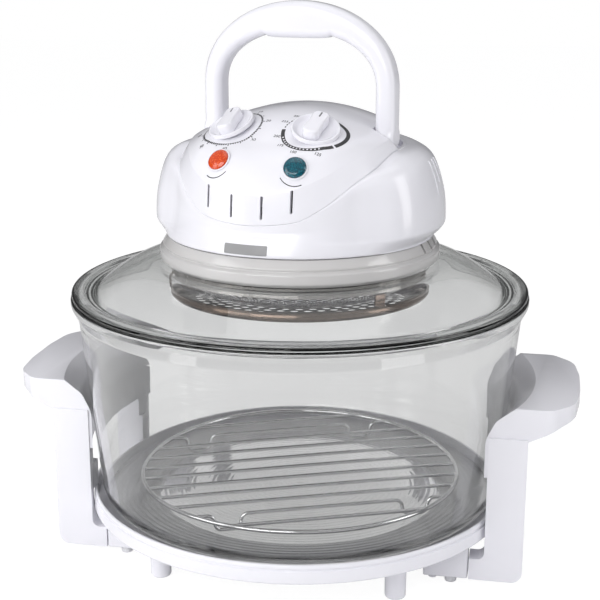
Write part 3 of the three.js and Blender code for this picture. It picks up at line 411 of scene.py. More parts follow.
def lens(name, deep, bright):
    """Coloured lamp lens: a moulded prism pattern under the gloss, each cell deeper in colour towards its
    edge.
    """
    material, tree, shader = new_material(name)
    cells = textured(tree, "TexVoronoi", {"Scale": 900})["Distance"]
    tint(tree, shader, ramp(tree, cells, 0.0, 0.6, 0.0, 1.0), bright, deep)
    set_values(shader, {"Roughness": 0.12, "Coat Weight": 0.6, "Coat Roughness": 0.03})
    bump(tree, shader, cells, 0.15, 0.0003)
    return material


white = plastic("white_moulding", (0.88, 0.875, 0.925), (0.85, 0.845, 0.90), 0.2, coat=0.35)
warm_white = plastic("warm_moulding", (0.61, 0.60, 0.597), (0.59, 0.58, 0.577), 0.16, coat=0.6)
plate_grey = plastic("plate_grey", (0.30, 0.30, 0.305), (0.26, 0.26, 0.265), 0.35)
pad_rubber = plastic("pad_rubber", (0.80, 0.80, 0.82), (0.74, 0.74, 0.77), 0.6, grain=0.2)
black = plastic("black_moulding", (0.02, 0.02, 0.022), (0.035, 0.035, 0.037), 0.42, grain=0.15)
ceramic = plastic("ceramic", (0.80, 0.77, 0.70), (0.72, 0.69, 0.62), 0.65, grain=0.3)
ink = plastic("ink", (0.012, 0.012, 0.014), (0.03, 0.03, 0.033), 0.4)
grey_ink = plastic("grey_ink", (0.12, 0.12, 0.13), (0.17, 0.17, 0.18), 0.45)
chrome = metal("chrome_wire", (0.62, 0.62, 0.63), (0.50, 0.50, 0.51), 0.1, brushed=0.0)
steel = metal("polished_steel", (0.42, 0.405, 0.39), (0.34, 0.325, 0.31), 0.22, brushed=0.08)
dark_steel = metal("tinted_steel", (0.17, 0.125, 0.10), (0.11, 0.085, 0.07), 0.13, brushed=0.04)
# Darker copy of the guard's tinted steel for the dish floor: the steel's own tint with painted shade added,
# for the dark inside of the head that the floor faces.
guard_steel_painted_shade = metal("guard_steel_painted_shade", (0.08, 0.068, 0.06), (0.05, 0.043, 0.04), 0.2, brushed=0.05)
bowl_glass = glass("bowl_glass", (0.36, 0.38, 0.36), 25.0)
lid_glass_finish = glass("lid_glass", (0.33, 0.37, 0.34), 36.0)
quartz = glass("quartz", (0.92, 0.90, 0.85), 10.0, ripple=0.0)
orange_lens = lens("orange_lens", (0.62, 0.05, 0.004), (0.90, 0.14, 0.015))
teal_lens = lens("teal_lens", (0.0, 0.06, 0.09), (0.0, 0.17, 0.23))
slot_finish = {
    "white_plastic": white, "warm_white_plastic": warm_white, "pad_rubber": pad_rubber,
    "clear_glass": bowl_glass, "chrome_wire": chrome, "polished_steel": steel, "dark_steel": dark_steel,
    "quartz_glass": quartz, "ceramic": ceramic, "orange_lens": orange_lens, "teal_lens": teal_lens,
    "black_plastic": black,
}
slot_of = {row["node"]: row["material_slot"] for row in frame["record"]["subparts"]}
for node_name, node in frame["nodes"].items():
    node.data.materials.clear()
    node.data.materials.append(slot_finish[slot_of[node_name]])


def finish_piece(made, material, body, stands_for=()):
    """Gives a new piece its material, its body and the solids that it stands for."""
    made.data.materials.clear()
    made.data.materials.append(material)
    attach(made, body)
    if stands_for:
        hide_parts(*stands_for)


def finish_white(made, body, stands_for=()):
    finish_piece(made, white, body, stands_for)


def finish_on_lid(made, material, stands_for=()):
    """Takes a piece from the lid's own frame to its place and finishes it there."""
    place(made, to_lid)
    finish_piece(made, material, "lid", stands_for)


# Bowl: flared wall with a thick heel, neck, flat rim and fine rings in the floor
bowl_rim_top = lid_rim_top - lid_thickness - gap
bowl_seat = 40.8
bowl_floor = bowl_seat + 4.6
ring_count = 34
ring_pitch = 4
ring_half_width = 0.9
ring_depth = 0.12


def make_bowl():
    top = bowl_rim_top
    outer = [
        (0, bowl_seat + 0.6, 0), (100, bowl_seat, 2), (149.6, bowl_seat, 15), (162.6, top - 19, 10),
        (163.4, top - 13, 6), (168.0, top - 4.6, 2.2), (168.2, top, 1.6),
    ]
    inner = [(161.4, top, 1.4), (159.2, top - 13, 8), (158.4, top - 19, 10), (145.4, bowl_floor, 11)]
    profile = rounded(outer + inner, 0, 6, closed=False)
    for i in range(ring_count, 0, -1):
        for step, depth in ((ring_half_width, 0), (0, ring_depth), (-ring_half_width, 0)):
            profile.append((ring_pitch * i + step, bowl_floor - depth))
    profile.append((0, bowl_floor))
    made = lathe("glass_bowl_body", profile, very_fine)
    finish_piece(made, bowl_glass, "bowl", ["glass_bowl"])


# Base ring with its groove, ledge, lugs and screw bosses
ring_bottom = 36.2
ring_top = 50
leg_y = 58.25
boss_x = 109
left_right = ((-1, "left"), (1, "right"))
front_rear = ((-1, "front"), (1, "rear"))


def make_base():
    profile = rounded([
        (106, ring_bottom), (157.0, ring_bottom, 1.2), (157.6, ring_bottom + 1.4, 1), (157.3, 45.3, 0.4),
        (156.0, 45.9, 0.4), (156.0, 46.8, 0.4), (157.0, 47.2, 0.4), (156.7, ring_top, 1.4),
        (154.6, ring_top, 0.8), (154.6, 40.5, 1), (106, 40.5, 1),
    ], 0.5, 4)
    made = lathe("base_ring_body", profile, very_fine)
    finish_white(made, "base", ["base_ring"])
    profile = rounded([(128, 33.6), (130, 33.6), (130, ring_bottom), (128, ring_bottom)], 0.5, 3)
    finish_white(lathe("base_ledge_rib", profile), "base")
    profile = rounded([(0, 2.0), (3.0, 2.0), (3.0, 6.4), (0, 6.4)], 0.6, 3, closed=False)
    for side, side_name in left_right:
        for end, end_name in front_rear:
            outline = rounded([(102.6, 50), (134.3, 50), (134.3, 66.5), (102.6, 66.5)], 1.6, 4)
            outline = [(side * x, end * y) for x, y in outline]
            if side * end < 0:
                outline.reverse()
            lug = prism(f"base_lug_{side_name}_{end_name}", outline, 6.0, 36.0, edge=1.2)
            finish_white(lug, "base")
            boss = lathe(f"base_boss_{side_name}_{end_name}", profile, 32)
            place(boss, moved(side * boss_x, end * leg_y))
            finish_white(boss, "base")


# Four feet and four rubber pads
foot_x = 85.6
foot_y = 89.5
pad_x = 122


def make_feet():
    foot_profile = rounded([(0, 0), (7.4, 0), (7.8, 35.9), (0, 35.9)], 1.8, 5, closed=False)
    pad_profile = rounded([(0, 0), (4.2, 0), (4.4, 5.7), (0, 5.7)], 1.0, 4, closed=False)
    for side, side_name in left_right:
        for end, end_name in front_rear:
            label = f"{end_name}_{side_name}"
            foot = lathe(f"foot_{label}_body", foot_profile, round_sides)
            place(foot, moved(side * foot_x, end * foot_y))
            finish_white(foot, "base", [f"foot_{label}"])
            pad = lathe(f"pad_{label}_body", pad_profile, 32)
            place(pad, moved(side * pad_x, end * leg_y))
            finish_piece(pad, pad_rubber, "base", [f"pad_{label}"])


# Side handles: grip, two legs with arms and a skirt, hollowed towards the bowl
grip_top = 136
grip_outer = 207
leg_inner = 145.5
leg_outer = 172.5
leg_half_width = 8.25


def make_side_handle(side_name, turn):
    plan = [
        (131.5, -65, 0), (188, -65, 12), (203.5, -48, 26), (grip_outer, -18, 60), (grip_outer, 18, 60),
        (203.5, 48, 26), (188, 65, 12), (131.5, 65, 0),
    ]
    body = prism("grip", rounded(plan, 6, 10), 84, grip_top)
    side = [
        (120, 80, 0), (leg_inner, 80, 0), (leg_inner, 111, 3), (170, 111, 6), (192, 121.5, 14),
        (207.5, 126.5, 4), (209, 140, 0), (120, 140, 0),
    ]
    across = prism("across", rounded(side, 4, 8), -90, 90)
    place(across, upright)
    boolean(body, [across], "INTERSECT")
    leg_line = [
        (134.9, 6, 0), (leg_outer, 6, 8), (leg_outer, 114, 0), (leg_inner, 114, 0), (leg_inner, 22, 14),
        (134.9, 22, 0),
    ]
    for end in (-1, 1):
        leg = prism("leg", rounded(leg_line, 2, 10), -leg_half_width, leg_half_width)
        place(leg, upright)
        place(leg, moved(0, end * leg_y))
        boolean(body, [leg], "UNION")
    skirt = lathe("skirt", [(155.3, 84), (160.3, 84), (160.3, 125), (155.3, 125)], fine, 20)
    limit = box("limit", 100, 200, -58.2, 58.2, 80, 126)
    boolean(skirt, [limit], "INTERSECT")
    boolean(body, [skirt], "UNION")
    scoop = lathe("scoop", rounded([
        (0, 70), (157.3, 70), (157.3, 112, 20), (163.5, 126, 12), (175.5, grip_top, 0), (178, 138), (0, 138),
    ], 0, 6, closed=False), fine, 20)
    ring_room = lathe("ring_room", [(0, 35.9), (157.9, 35.9), (157.9, 50.3), (0, 50.3)], fine, 20)
    boolean(body, [scoop, ring_room])
    body.name = f"side_handle_{side_name}_body"
    bevelled(body, 1.5, 4, 32)
    place(body, spun(turn))
    finish_white(body, "base", [f"side_handle_{side_name}"])


# Wire rack: round frame, straight bars and two bars bent down into feet
rack_radius = 119.3
rack_top = 59.5
bar_count = 11
bar_pitch = 19.4
half_bar = 1.3
half_frame = 1.6
solid_floor = 4.5
longest_bend = 0.45


def smooth_path(points, radius, steps=6):
    """Path in space with rounded bends."""
    out = [Vector(points[0])]
    for before, corner, after in zip(points, points[1:], points[2:]):
        a, b, c = Vector(before), Vector(corner), Vector(after)
        reach = min(radius, longest_bend * (a - b).length, longest_bend * (c - b).length)
        start = b + (a - b).normalized() * reach
        end = b + (c - b).normalized() * reach
        for i in range(steps + 1):
            share = i / steps
            out.append(start.lerp(b, share).lerp(b.lerp(end, share), share))
    return out + [Vector(points[-1])]


def make_rack():
    height = rack_top - half_frame
    floor = bowl_seat + solid_floor + gap + half_bar
    ring_path = [polar(rack_radius, full_turn * i / fine, height) for i in range(fine)]
    parts = [wire("frame", ring_path, half_frame, closed=True)]
    for i in range(bar_count):
        y = (i - (bar_count - 1) / 2) * bar_pitch
        half = math.sqrt(rack_radius ** 2 - y ** 2)
        end = half + 1.2
        if i in (1, bar_count - 2):
            outer = half - 13
            inner = outer - 20
            points = [
                (-end, y, height), (-outer, y, height), (-outer + 1.5, y, floor), (-inner - 1.5, y, floor),
                (-inner, y, height), (inner, y, height), (inner + 1.5, y, floor), (outer - 1.5, y, floor),
                (outer, y, height), (end, y, height),
            ]
            points = smooth_path(points, 7)
        else:
            points = [(-end, y, height), (end, y, height)]
        parts.append(wire("bar", points, half_bar, up=(0, 1, 0)))
    made = joined("wire_rack_body", parts, 60)
    place(made, spun(rack_turn))
    finish_piece(made, chrome, "rack", ["wire_rack"])


# Lid glass: rim, locating step, shallow dome and the land round its hole
land_height = 20.2
land_radius = 105
dome_foot_height = -1.2
dome_foot_radius = 151


def make_lid_glass():
    dome = []
    under = []
    steps = 16
    for i in range(steps + 1):
        share = i / steps
        radius = dome_foot_radius + (land_radius - dome_foot_radius) * share
        rise = dome_foot_height + (land_height - dome_foot_height) * math.sin(share * quarter_turn)
        dome.append((radius, rise))
        under.append((radius, rise - lid_thickness))
    land = rounded([(90, 15.9), (90, land_height, 1), (land_radius, land_height, 0)], 0, 4, closed=False)
    rim = [
        (156, -1.2, 2), (159.5, 0, 3), (167.2, 0, 2.1), (167.5, -lid_thickness, 2.1),
        (157.2, -lid_thickness, 0.8), (156, -10.0, 1.6), (151.5, -10.0, 2),
    ]
    profile = land + list(reversed(dome))[1:]
    profile += rounded([dome[0]] + rim + [under[0]], 0, 5, closed=False)[1:-1]
    made = lathe("lid_glass_body", profile + under, very_fine)
    finish_on_lid(made, lid_glass_finish, ["lid_glass"])


# Collar: lower band, groove and tapering upper ring with air slots at the back
vent_count = 25
vent_pitch = math.radians(8)
vent_radius = 98


def make_collar():
    profile = rounded([
        (91, 20.5), (100.2, 20.5), (102.6, 22.9, 2), (102.6, 29.6, 1.8), (99.2, 31.2, 0.6),
        (100.4, 32.6, 1.2), (96.6, 38.7, 1.2), (93.6, 38.7), (96.2, 31.1, 1), (96.2, 23.5, 1), (91, 23.5),
    ], 0.6, 5)
    made = lathe("lid_collar_body", profile, very_fine)
    slots = []
    for i in range(vent_count):
        slot = prism("slot", rectangle(12, 2.6, 1.2), 32.4, 46)
        place(slot, spun(quarter_turn + (i - vent_count // 2) * vent_pitch) @ moved(vent_radius, 0))
        slots.append(slot)
    boolean(made, [joined("slots", slots)])
    tidy(made, 30)
    finish_on_lid(made, warm_white, ["lid_collar"])


# Head form: rows of radius and height shares at angles from the front to the back of one side
angle_table = [0, 20, 32, 45, 54, 62, 70, 78, 90, 113, 150, 180]
crease_radius_shares = [1.004, 1, 0.99, 0.968, 0.94, 0.903, 0.87, 0.85, 0.838, 0.82, 0.79, 0.77]
crease_height_shares = [0.556, 0.583, 0.667, 0.792, 0.856, 0.894, 0.935, 0.958, 0.963, 0.968, 0.99, 1]
ridge_radius_shares = [0.985, 0.976, 0.952, 0.903, 0.869, 0.839, 0.81, 0.785, 0.76, 0.742, 0.71, 0.69]
wing_shares = [0, 0, 0, 0, 0.3, 0.75, 0.95, 1, 1, 1, 1, 1]
wall_shares = [(0.06, 0.4), (0.3, 0.8), (0.62, 0.95)]
cap_shares = [
    0.985, 0.965, 0.94, 0.91, 0.875, 0.835, 0.79, 0.755, 0.72, 0.69, 0.66, 0.63, 0.58, 0.53, 0.47, 0.42,
    0.36, 0.3, 0.16,
]
head_bottom = 39.2
head_bottom_radius = 97.6
bib_radius = 93
wing_radius = 106
wing_height = 51
dome_top = 108
lip_width = 2.6
lip_height = 5
lip_front_share = 0.15
panel_top = 131.5
panel_crest = 12
panel_front_fall = 53
panel_rear_fall = 23
panel_camber = 34
panel_front_power = 2.83
swell_start = 0.66
swell_height = 5
channel_x = 58.4
carry_depth = 18
head_wall = 2.5


def along(table, angle):
    """Smooth value of a table at an angle from the front."""
    degrees = min(abs(math.degrees(angle)), 180)
    i = 1
    while i < len(angle_table) - 1 and angle_table[i] < degrees:
        i += 1
    x0, x1 = angle_table[i - 1], angle_table[i]
    y0, y1 = table[i - 1], table[i]
    before = slope_at(table, i - 1)
    after = slope_at(table, i)
    span = x1 - x0
    t = (degrees - x0) / span
    return (
        (2 * t ** 3 - 3 * t ** 2 + 1) * y0 + (t ** 3 - 2 * t ** 2 + t) * span * before
        + (3 * t ** 2 - 2 * t ** 3) * y1 + (t ** 3 - t ** 2) * span * after
    )


def slope_at(table, i):
    """Slope that neither overshoots nor kinks at a table's point."""
    if i in (0, len(table) - 1):
        return 0.0
    left = (table[i] - table[i - 1]) / (angle_table[i] - angle_table[i - 1])
    right = (table[i + 1] - table[i]) / (angle_table[i + 1] - angle_table[i])
    if left * right <= 0:
        return 0.0
    return 2 * left * right / (left + right)


def panel_swell(x, y):
    """Fullness of the face between the dials and the ridge, fading towards both sides."""
    angle = math.atan2(x, -y)
    share = math.hypot(x, y) / (bib_radius * along(ridge_radius_shares, angle))
    if not swell_start < share < 1:
        return 0.0
    run = ((share - swell_start) / (1 - swell_start)) ** 1.5
    side = min(max((abs(math.degrees(angle)) - 35) / 45, 0), 1)
    return swell_height * math.sin(math.pi * run) * (1 - side) ** 2


def panel_height(x, y):
    """The face falls steeply to the front, gently to the back and to both sides."""
    reach = panel_crest - y
    if reach > 0:
        fall = panel_front_fall * (reach / (bib_radius + panel_crest)) ** panel_front_power
    else:
        fall = panel_rear_fall * (reach / (bib_radius - panel_crest)) ** 2
    return panel_top - fall - panel_camber * (x / bib_radius) ** 2 + panel_swell(x, y)


def curve_through(points, steps=6):
    """Smooth line through profile points, rounded where they turn."""
    out = []
    for i in range(len(points) - 1):
        p0 = Vector(points[max(i - 1, 0)])
        p1 = Vector(points[i])
        p2 = Vector(points[i + 1])
        p3 = Vector(points[min(i + 2, len(points) - 1)])
        for k in range(steps):
            t = k / steps
            point = 0.5 * (
                2 * p1 + (p2 - p0) * t + (2 * p0 - 5 * p1 + 4 * p2 - p3) * t ** 2
                + (3 * p1 - p0 - 3 * p2 + p3) * t ** 3
            )
            out.append(tuple(point))
    out.append(tuple(points[-1]))
    return out


def polar_loft(name, profile_at, steps=fine, sharp=35):
    """Closed skin from one profile for each angle, run from the bottom to the top of the axis."""
    points = []
    for i in range(steps):
        angle = -math.pi + full_turn * i / steps
        profile = profile_at(angle)
        points += [(r * math.sin(angle), -r * math.cos(angle), z) for r, z in profile]
    count = len(profile)
    tops = range(count - 1, steps * count, count)
    faces = skin_faces(steps, count, True, False)
    faces.append(tuple(range(0, steps * count, count)))
    faces += [(top, tops[(i + 1) % steps], steps * count) for i, top in enumerate(tops)]
    points.append((0, 0, max(points[top][2] for top in tops)))
    return make_object(name, points, faces, sharp)


def dome_profile(angle, offset, bottom, has_lip):
    """Bib in front, wing on each side, and a lip round the roof that the panel stands on."""
    wing = along(wing_shares, angle)
    lip = lip_height * max(wing, lip_front_share)
    edge = bib_radius * along(crease_radius_shares, angle) + offset
    bulge = bib_radius + (wing_radius - bib_radius) * wing + offset
    rise = dome_top * along(crease_height_shares, angle) + offset - (0 if has_lip else lip)
    flare = (head_bottom_radius - bib_radius) * (1 - wing) / 2
    lower = head_bottom_radius + offset
    wall = [
        (lower - 1.2 * (1 - wing), head_bottom),
        (lower, head_bottom + 1.5),
        (bulge + flare + 0.9 * (1 - wing) - 1.6 * wing, wing_height - 4),
        (bulge + flare - 0.5 * (1 - wing), wing_height + 2 * wing),
    ]
    for inset, lift in wall_shares:
        wall.append((bulge - (bulge - edge) * inset, wing_height + (rise - wing_height) * lift))
    wall.append((edge, rise - 0.5))
    profile = [(lower - 1.2, bottom)] + curve_through(wall, 6)
    profile += [(edge - 0.15, rise - 0.15), (edge - 0.5, rise)]
    roof = rise
    if has_lip:
        inner = edge - lip_width - 2 * offset
        roof = rise - lip
        profile += [(inner, rise), (inner, roof)]
    return profile + [(edge * share, roof) for share in (0.75, 0.4)]


gland_seat = moved(0, 0, 60) @ spun(-lid_turn) @ Matrix.Rotation(-quarter_turn, 4, "X")


def make_head_shell():
    made = polar_loft("head_shell_body", lambda angle: dome_profile(angle, 0, head_bottom - 0.001, True))
    room = polar_loft("room", lambda angle: dome_profile(angle, -head_wall, head_bottom - 3, False))
    half = channel_x - head_wall + gap
    outline = [(-half, -76), (half, -76), (half, 50), (-half, 50)]
    opening = prism("opening", rounded(outline, 12, 6), wing_height, panel_top)
    gland_hole = lathe("gland_hole", [(0, 80), (7.3, 80), (7.3, 120), (0, 120)], round_sides, 20)
    place(gland_hole, gland_seat)
    boolean(made, [room, opening, gland_hole])
    tidy(made, 35)
    finish_on_lid(made, white, ["head_shell"])


def make_plate():
    """Bare plate low on the front of the head, and fine ribs on each wing."""
    plate = prism("bare_plate", [(x + 1.2, z + 44.4) for x, z in rectangle(31, 6.6, 0.8)], 90, 100)
    place(plate, upright)
    skin = polar_loft("skin", lambda angle: dome_profile(angle, 0.3, head_bottom - 1, False))
    core = polar_loft("core", lambda angle: dome_profile(angle, -0.3, head_bottom - 2, False))
    boolean(plate, [skin], "INTERSECT")
    boolean(plate, [core])
    tidy(plate, 30)
    finish_on_lid(plate, plate_grey)
    for side, side_name in left_right:
        for i, degrees in enumerate((91, 96, 101)):
            angle = math.radians(degrees)
            wall = dome_profile(angle, 0, head_bottom, True)
            low = 72 + 5 * i
            path = [(side * r * math.sin(angle), -r * math.cos(angle), z) for r, z in wall if low < z < 96]
            rib = wire(f"wing_rib_{side_name}_{i + 1}", path, 0.55)
            finish_on_lid(rib, white)


def panel_profile(angle, wall):
    """Band from the crease up to the ridge, then the face. With a wall it is the room inside."""
    foot = bib_radius * along(crease_radius_shares, angle)
    low = dome_top * along(crease_height_shares, angle)
    edge = bib_radius * along(ridge_radius_shares, angle) - wall

    def face(radius):
        return (radius, panel_height(radius * math.sin(angle), -radius * math.cos(angle)) - wall)

    band = [(foot - wall, low), (foot - wall, low + 0.4, 0.4), (*face(edge), 3.2)]
    skin = rounded(band + [face(edge * share) for share in cap_shares], 0, 5, closed=False)
    if wall > 0:
        return [(foot + 2, head_bottom - 2), (foot + 2, low)] + skin
    return [(foot / 2, head_bottom)] + skin


def panel_point(x, y):
    """Point on the panel's face over a place in the lid's own frame, with the direction square to it."""
    step = 2.0
    slope_x = (panel_height(x + step, y) - panel_height(x - step, y)) / (2 * step)
    slope_y = (panel_height(x, y + step) - panel_height(x, y - step)) / (2 * step)
    return Vector((x, y, panel_height(x, y))), Vector((-slope_x, -slope_y, 1)).normalized()


def channel_boxes(inner, front):
    return [
        box("channel", *sorted((side * inner, side * 120)), -front, 120, head_bottom - 20, panel_top + 10)
        for side in (-1, 1)
    ]


slits = [(-30.5, 69.0), (-11.0, 64.5), (11.0, 64.5), (30.5, 69.0)]
slit_height = 15.5


def make_panel():
    made = polar_loft("control_panel_body", lambda angle: panel_profile(angle, 0), very_fine)
    front = carry_depth / 2 + 0.8
    boolean(made, [joined("channels", channel_boxes(channel_x, front))])
    room = polar_loft("room", lambda angle: panel_profile(angle, head_wall), 90)
    boolean(room, [joined("channels", channel_boxes(channel_x - head_wall, front + head_wall))])
    dome = polar_loft("dome", lambda angle: dome_profile(angle, gap, head_bottom - 4, True))
    boolean(made, [room, dome])
    cutters = []
    for x, bottom in slits:
        cutter = prism("slit", rectangle(1.7, slit_height, 0.8), 0, 40)
        place(cutter, moved(x, -70, bottom + slit_height / 2) @ upright)
        cutters.append(cutter)
    boolean(made, [joined("slits", cutters)])
    tidy(made, 30)
    finish_on_lid(made, white, ["control_panel"])


# Seats of the dials and lamps, from the panel's form
def seat_matrix(origin, normal):
    turn = Vector((0, 0, 1)).rotation_difference(normal).to_matrix().to_4x4()
    return to_lid @ Matrix.Translation(origin * mm) @ turn


dial_x = 31
dial_y = -46
lamp_places = [(-26.8, -77.3), (29.5, -78)]
dial_seats = [seat_matrix(*panel_point(side * dial_x, dial_y)) for side in (-1, 1)]
lamp_seats = [seat_matrix(*panel_point(x, y)) for x, y in lamp_places]


def make_knob(body, seat):
    """Dished round skirt with a broad grip bar across it, all edges rounded."""
    skirt = lathe("skirt", rounded([
        (0, 1.0), (16.4, 1.0), (17, 1.8, 0.5), (16.7, 4.2, 0.7), (15.7, 4.3, 0.7), (12.5, 1.9, 4), (0, 1.6),
    ], 0.5, 5, closed=False), 96)
    bar = prism("bar", rounded([
        (-6.2, -12.6), (6.2, -12.6), (5.2, 0, 24), (6.2, 12.6), (-6.2, 12.6), (-5.2, 0, 24),
    ], 4.2, 8), 1.4, 9.6, edge=1.4, edge_steps=5)
    made = joined(f"{body}_knob_body", [skirt, bar])
    place(made, seat)
    finish_white(made, body, [f"{body}_knob"])
    mark = prism(f"{body}_knob_body_mark", rectangle(1.1, 5.5, 0.5), 9.55, 9.65, edge=0.03)
    place(mark, seat @ moved(0, 8))
    finish_piece(mark, grey_ink, body)


def make_lamp(name, seat, material):
    made = lathe(f"{name}_lens", rounded([
        (0, -9), (6.5, -9), (6.5, 0.3), (7.6, 0.3, 0.3), (7.6, 1.3, 0.7), (6.6, 2.0, 0.6), (5.6, 2.6, 2),
        (0, 3.7, 0),
    ], 0.3, 4, closed=False), 64)
    place(made, seat)
    finish_piece(made, material, "lid", [name])
    bezel = lathe(f"{name}_bezel", rounded([(7.7, 0.02), (8.9, 0.02), (8.7, 0.55), (7.7, 0.7)], 0.2, 3), 64)
    place(bezel, seat)
    finish_white(bezel, "lid")


# Printing on the panel: each mark follows the panel's face
def on_panel(seat, angle, radius, lift=0.08):
    """Point on the panel at degrees clockwise from the top of the dial, and the face's direction."""
    rise, side, _ = polar(radius, math.radians(angle))
    flat = seat @ Vector((side * mm, rise * mm, 0))
    own = to_lid.inverted() @ flat
    point, normal = panel_point(own.x / mm, own.y / mm)
    return point + normal * lift, normal


def ribbon(name, seat, start, end, inner, outer, steps, material=ink):
    """Printed arc between two dial angles, white dots a little above the black."""
    rise = 0.05 if material is white else 0.0
    points = []
    faces = []
    for i in range(steps + 1):
        angle = start + (end - start) * i / steps
        for radius in (inner, outer):
            for lift in (rise, rise + 0.07):
                points.append(tuple(on_panel(seat, angle, radius, lift)[0]))
    for i in range(steps):
        a = i * 4
        b = a + 4
        for k, k2 in ((1, 3), (3, 2), (2, 0), (0, 1)):
            faces.append((a + k, a + k2, b + k2, b + k))
    faces += [(0, 1, 3, 2), (steps * 4 + 2, steps * 4 + 3, steps * 4 + 1, steps * 4)]
    finish_on_lid(make_object(name, points, faces), material)


def numeral(name, text, seat, angle, radius, size):
    point, normal = on_panel(seat, angle, radius, 0.02)
    data = bpy.data.curves.new(name, "FONT")
    data.body = text
    data.size = size * mm
    data.align_x = "CENTER"
    data.align_y = "CENTER"
    data.extrude = 0.03 * mm
    data.offset = 0.02 * mm
    made = linked(name, data)
    made.matrix_world = seat_matrix(point, normal)
    bpy.context.view_layer.update()
    mesh = shown_mesh(made)
    mesh.transform(made.matrix_world)
    bpy.data.objects.remove(made)
    finish_piece(linked(name, mesh), ink, "lid")


def make_scales():
    """Timer: thin ring with a tick for each minute. Heat: broad arc with gaps, dots and dashes."""
    timer, heat = dial_seats
    ribbon("timer_ring", timer, -60, 285, 21.7, 22.15, 120)
    for i in range(61):
        angle = -13 + 4.5 * i
        outer, half_width = (24.2, 0.014) if i % 5 == 0 else (22.9, 0.02)
        half = math.degrees(half_width)
        ribbon(f"timer_tick_{i}", timer, angle - half, angle + half, 21.3, outer, 1)
    for i in range(7):
        numeral(f"timer_number_{10 * i}", str(10 * i), timer, -18 + 47.5 * i, 26.8, 3.8)
    ribbon("heat_arc", heat, 8, 121.5, 20.9, 23.5, 60)
    ribbon("heat_arc_low", heat, 125.5, 262, 20.9, 23.5, 84)
    for i in range(14):
        angle = 150 + 6.8 * i
        ribbon(f"heat_dot_{i}", heat, angle, angle + 2.6, 21.6, 22.7, 3, white)
    for i in range(8):
        angle = 267 + 7 * i
        ribbon(f"heat_dash_{i}", heat, angle, angle + 4, 21.7, 22.5, 4)
    ribbon("heat_dash_off", heat, -9, 1, 22.0, 24.2, 8)
    for text, turn in (("125", 154), ("150", 192), ("175", 222), ("200", 246), ("225", 284), ("250", 308)):
        numeral(f"heat_number_{text}", text, heat, turn, 26.2, 3.3)
    for name, seat in zip(("power", "heat"), lamp_seats):
        ribbon(f"{name}_lamp_arc", seat, 138, 222, 11.0, 11.5, 24)


# Carry handle: arched grip on two legs, swept round its middle line
carry_pivot = 111
carry_top = 203.3


def make_carry_handle():
    rise = carry_top - carry_pivot
    outer = 73.2
    inner = 59.2
    leg = 32.0
    opening = 39.5
    grip_drop = 5.0
    half_depth = carry_depth / 2
    steps = 72
    arch = []
    for i in range(steps + 1):
        turn = math.pi * i / steps
        out_point = Vector((outer * math.cos(turn), leg + (rise - leg) * math.sin(turn) ** 0.92))
        in_point = Vector((inner * math.cos(turn), leg + opening * math.sin(turn) ** 0.85))
        bulge = max(0.0, 1 - (in_point.x / 25) ** 2) ** 0.6
        in_point.y -= grip_drop * bulge
        arch.append((out_point, in_point))
    straight = [(-half_depth + (leg + half_depth) * k / 8) for k in range(8)]
    right = [(Vector((outer, z)), Vector((inner, z))) for z in straight]
    left = [(Vector((-outer, z)), Vector((-inner, z))) for z in reversed(straight)]
    rows = right + arch + left
    points = []
    for out_point, in_point in rows:
        middle = (out_point + in_point) / 2
        half = (out_point - in_point) / 2
        thick = half.length
        across = half.normalized()
        for u, v in rectangle(2 * thick, carry_depth, min(thick, half_depth) * 0.72, 7):
            spot = middle + across * u
            points.append((spot.x, v, spot.y))
    count = len(points) // len(rows)
    faces = skin_faces(len(rows), count, False, True) + end_faces(len(rows), count)
    made = make_object("carry_handle_body", points, faces, 50)
    for side in (-1, 1):
        round_end = lathe("end", rounded([
            (0, 0), (half_depth, 0), (half_depth, outer - inner), (0, outer - inner),
        ], 2.2, 5, closed=False), 64)
        end_x = min(side * inner, side * outer)
        place(round_end, moved(end_x, 0) @ Matrix.Rotation(quarter_turn, 4, "Y"))
        cutter = box("cutter", *sorted((side * (inner - 4), side * (outer + 4))), -12, 12, -14, 0)
        boolean(made, [cutter])
        boolean(made, [round_end], "UNION")
    tidy(made, 50)
    place(made, to_lid @ moved(0, 0, carry_pivot))
    finish_white(made, "carry_handle", ["carry_handle"])


# Heater guard: pressed dish with a rolled rim, radial slots and rows of round holes
guard_low = -5.5
dish_radius = 89.4
slot_count = 48
slot_radius = 83.5
hole_radius = 3.1
hole_rows = 9
row_pitch = 8.2
hole_pitch = 9.6


def make_guard():
    low = guard_low
    rim = lathe("heater_guard_body", rounded([
        (dish_radius, low), (92.0, low, 1.8), (94.5, low + 3.2, 2.6), (93.3, 0.2, 0.8), (94.5, 2.0, 0.8),
        (92.2, 2.0, 0.5), (91.9, low + 3.0, 1), (90.5, low + 1.2, 1.0), (dish_radius, low + 1.2),
    ], 0.3, 4), very_fine)
    finish_on_lid(rim, dark_steel, ["heater_guard"])
    floor = [(0, low + 0.3), (dish_radius, low + 0.3), (dish_radius, low + 0.8), (0, low + 0.8)]
    dish = lathe("heater_guard_floor", floor, very_fine)
    cutters = []
    for i in range(slot_count):
        slot = prism("slot", rectangle(9.5, 2.6, 1.3), low - 2, low + 2.4)
        place(slot, spun(full_turn * i / slot_count) @ moved(slot_radius, 0))
        cutters.append(slot)
    for row in range(1, hole_rows + 1):
        radius = row_pitch * row
        count = max(6, round(full_turn * radius / hole_pitch))
        for i in range(count):
            angle = full_turn * (i + 0.5 * (row % 2)) / count
            hole = prism("hole", circle(hole_radius), low - 2, low + 2)
            place(hole, Matrix.Translation(Vector(polar(radius, angle)) * mm))
            cutters.append(hole)
    boolean(dish, [joined("holes", cutters)])
    tidy(dish, 30)
    # The dish floor takes the darker steel: its own tint with painted shade for the dark inside of the head.
    finish_on_lid(dish, guard_steel_painted_shade)


# Heater: ring tube with its filament, and the reflector over it
tube_radius = 66
tube_height = 4.5
half_tube = 4.6
half_coil = 1.5
coil_turns = 150
coil_inset = 0.06
tube_gap = math.radians(34)


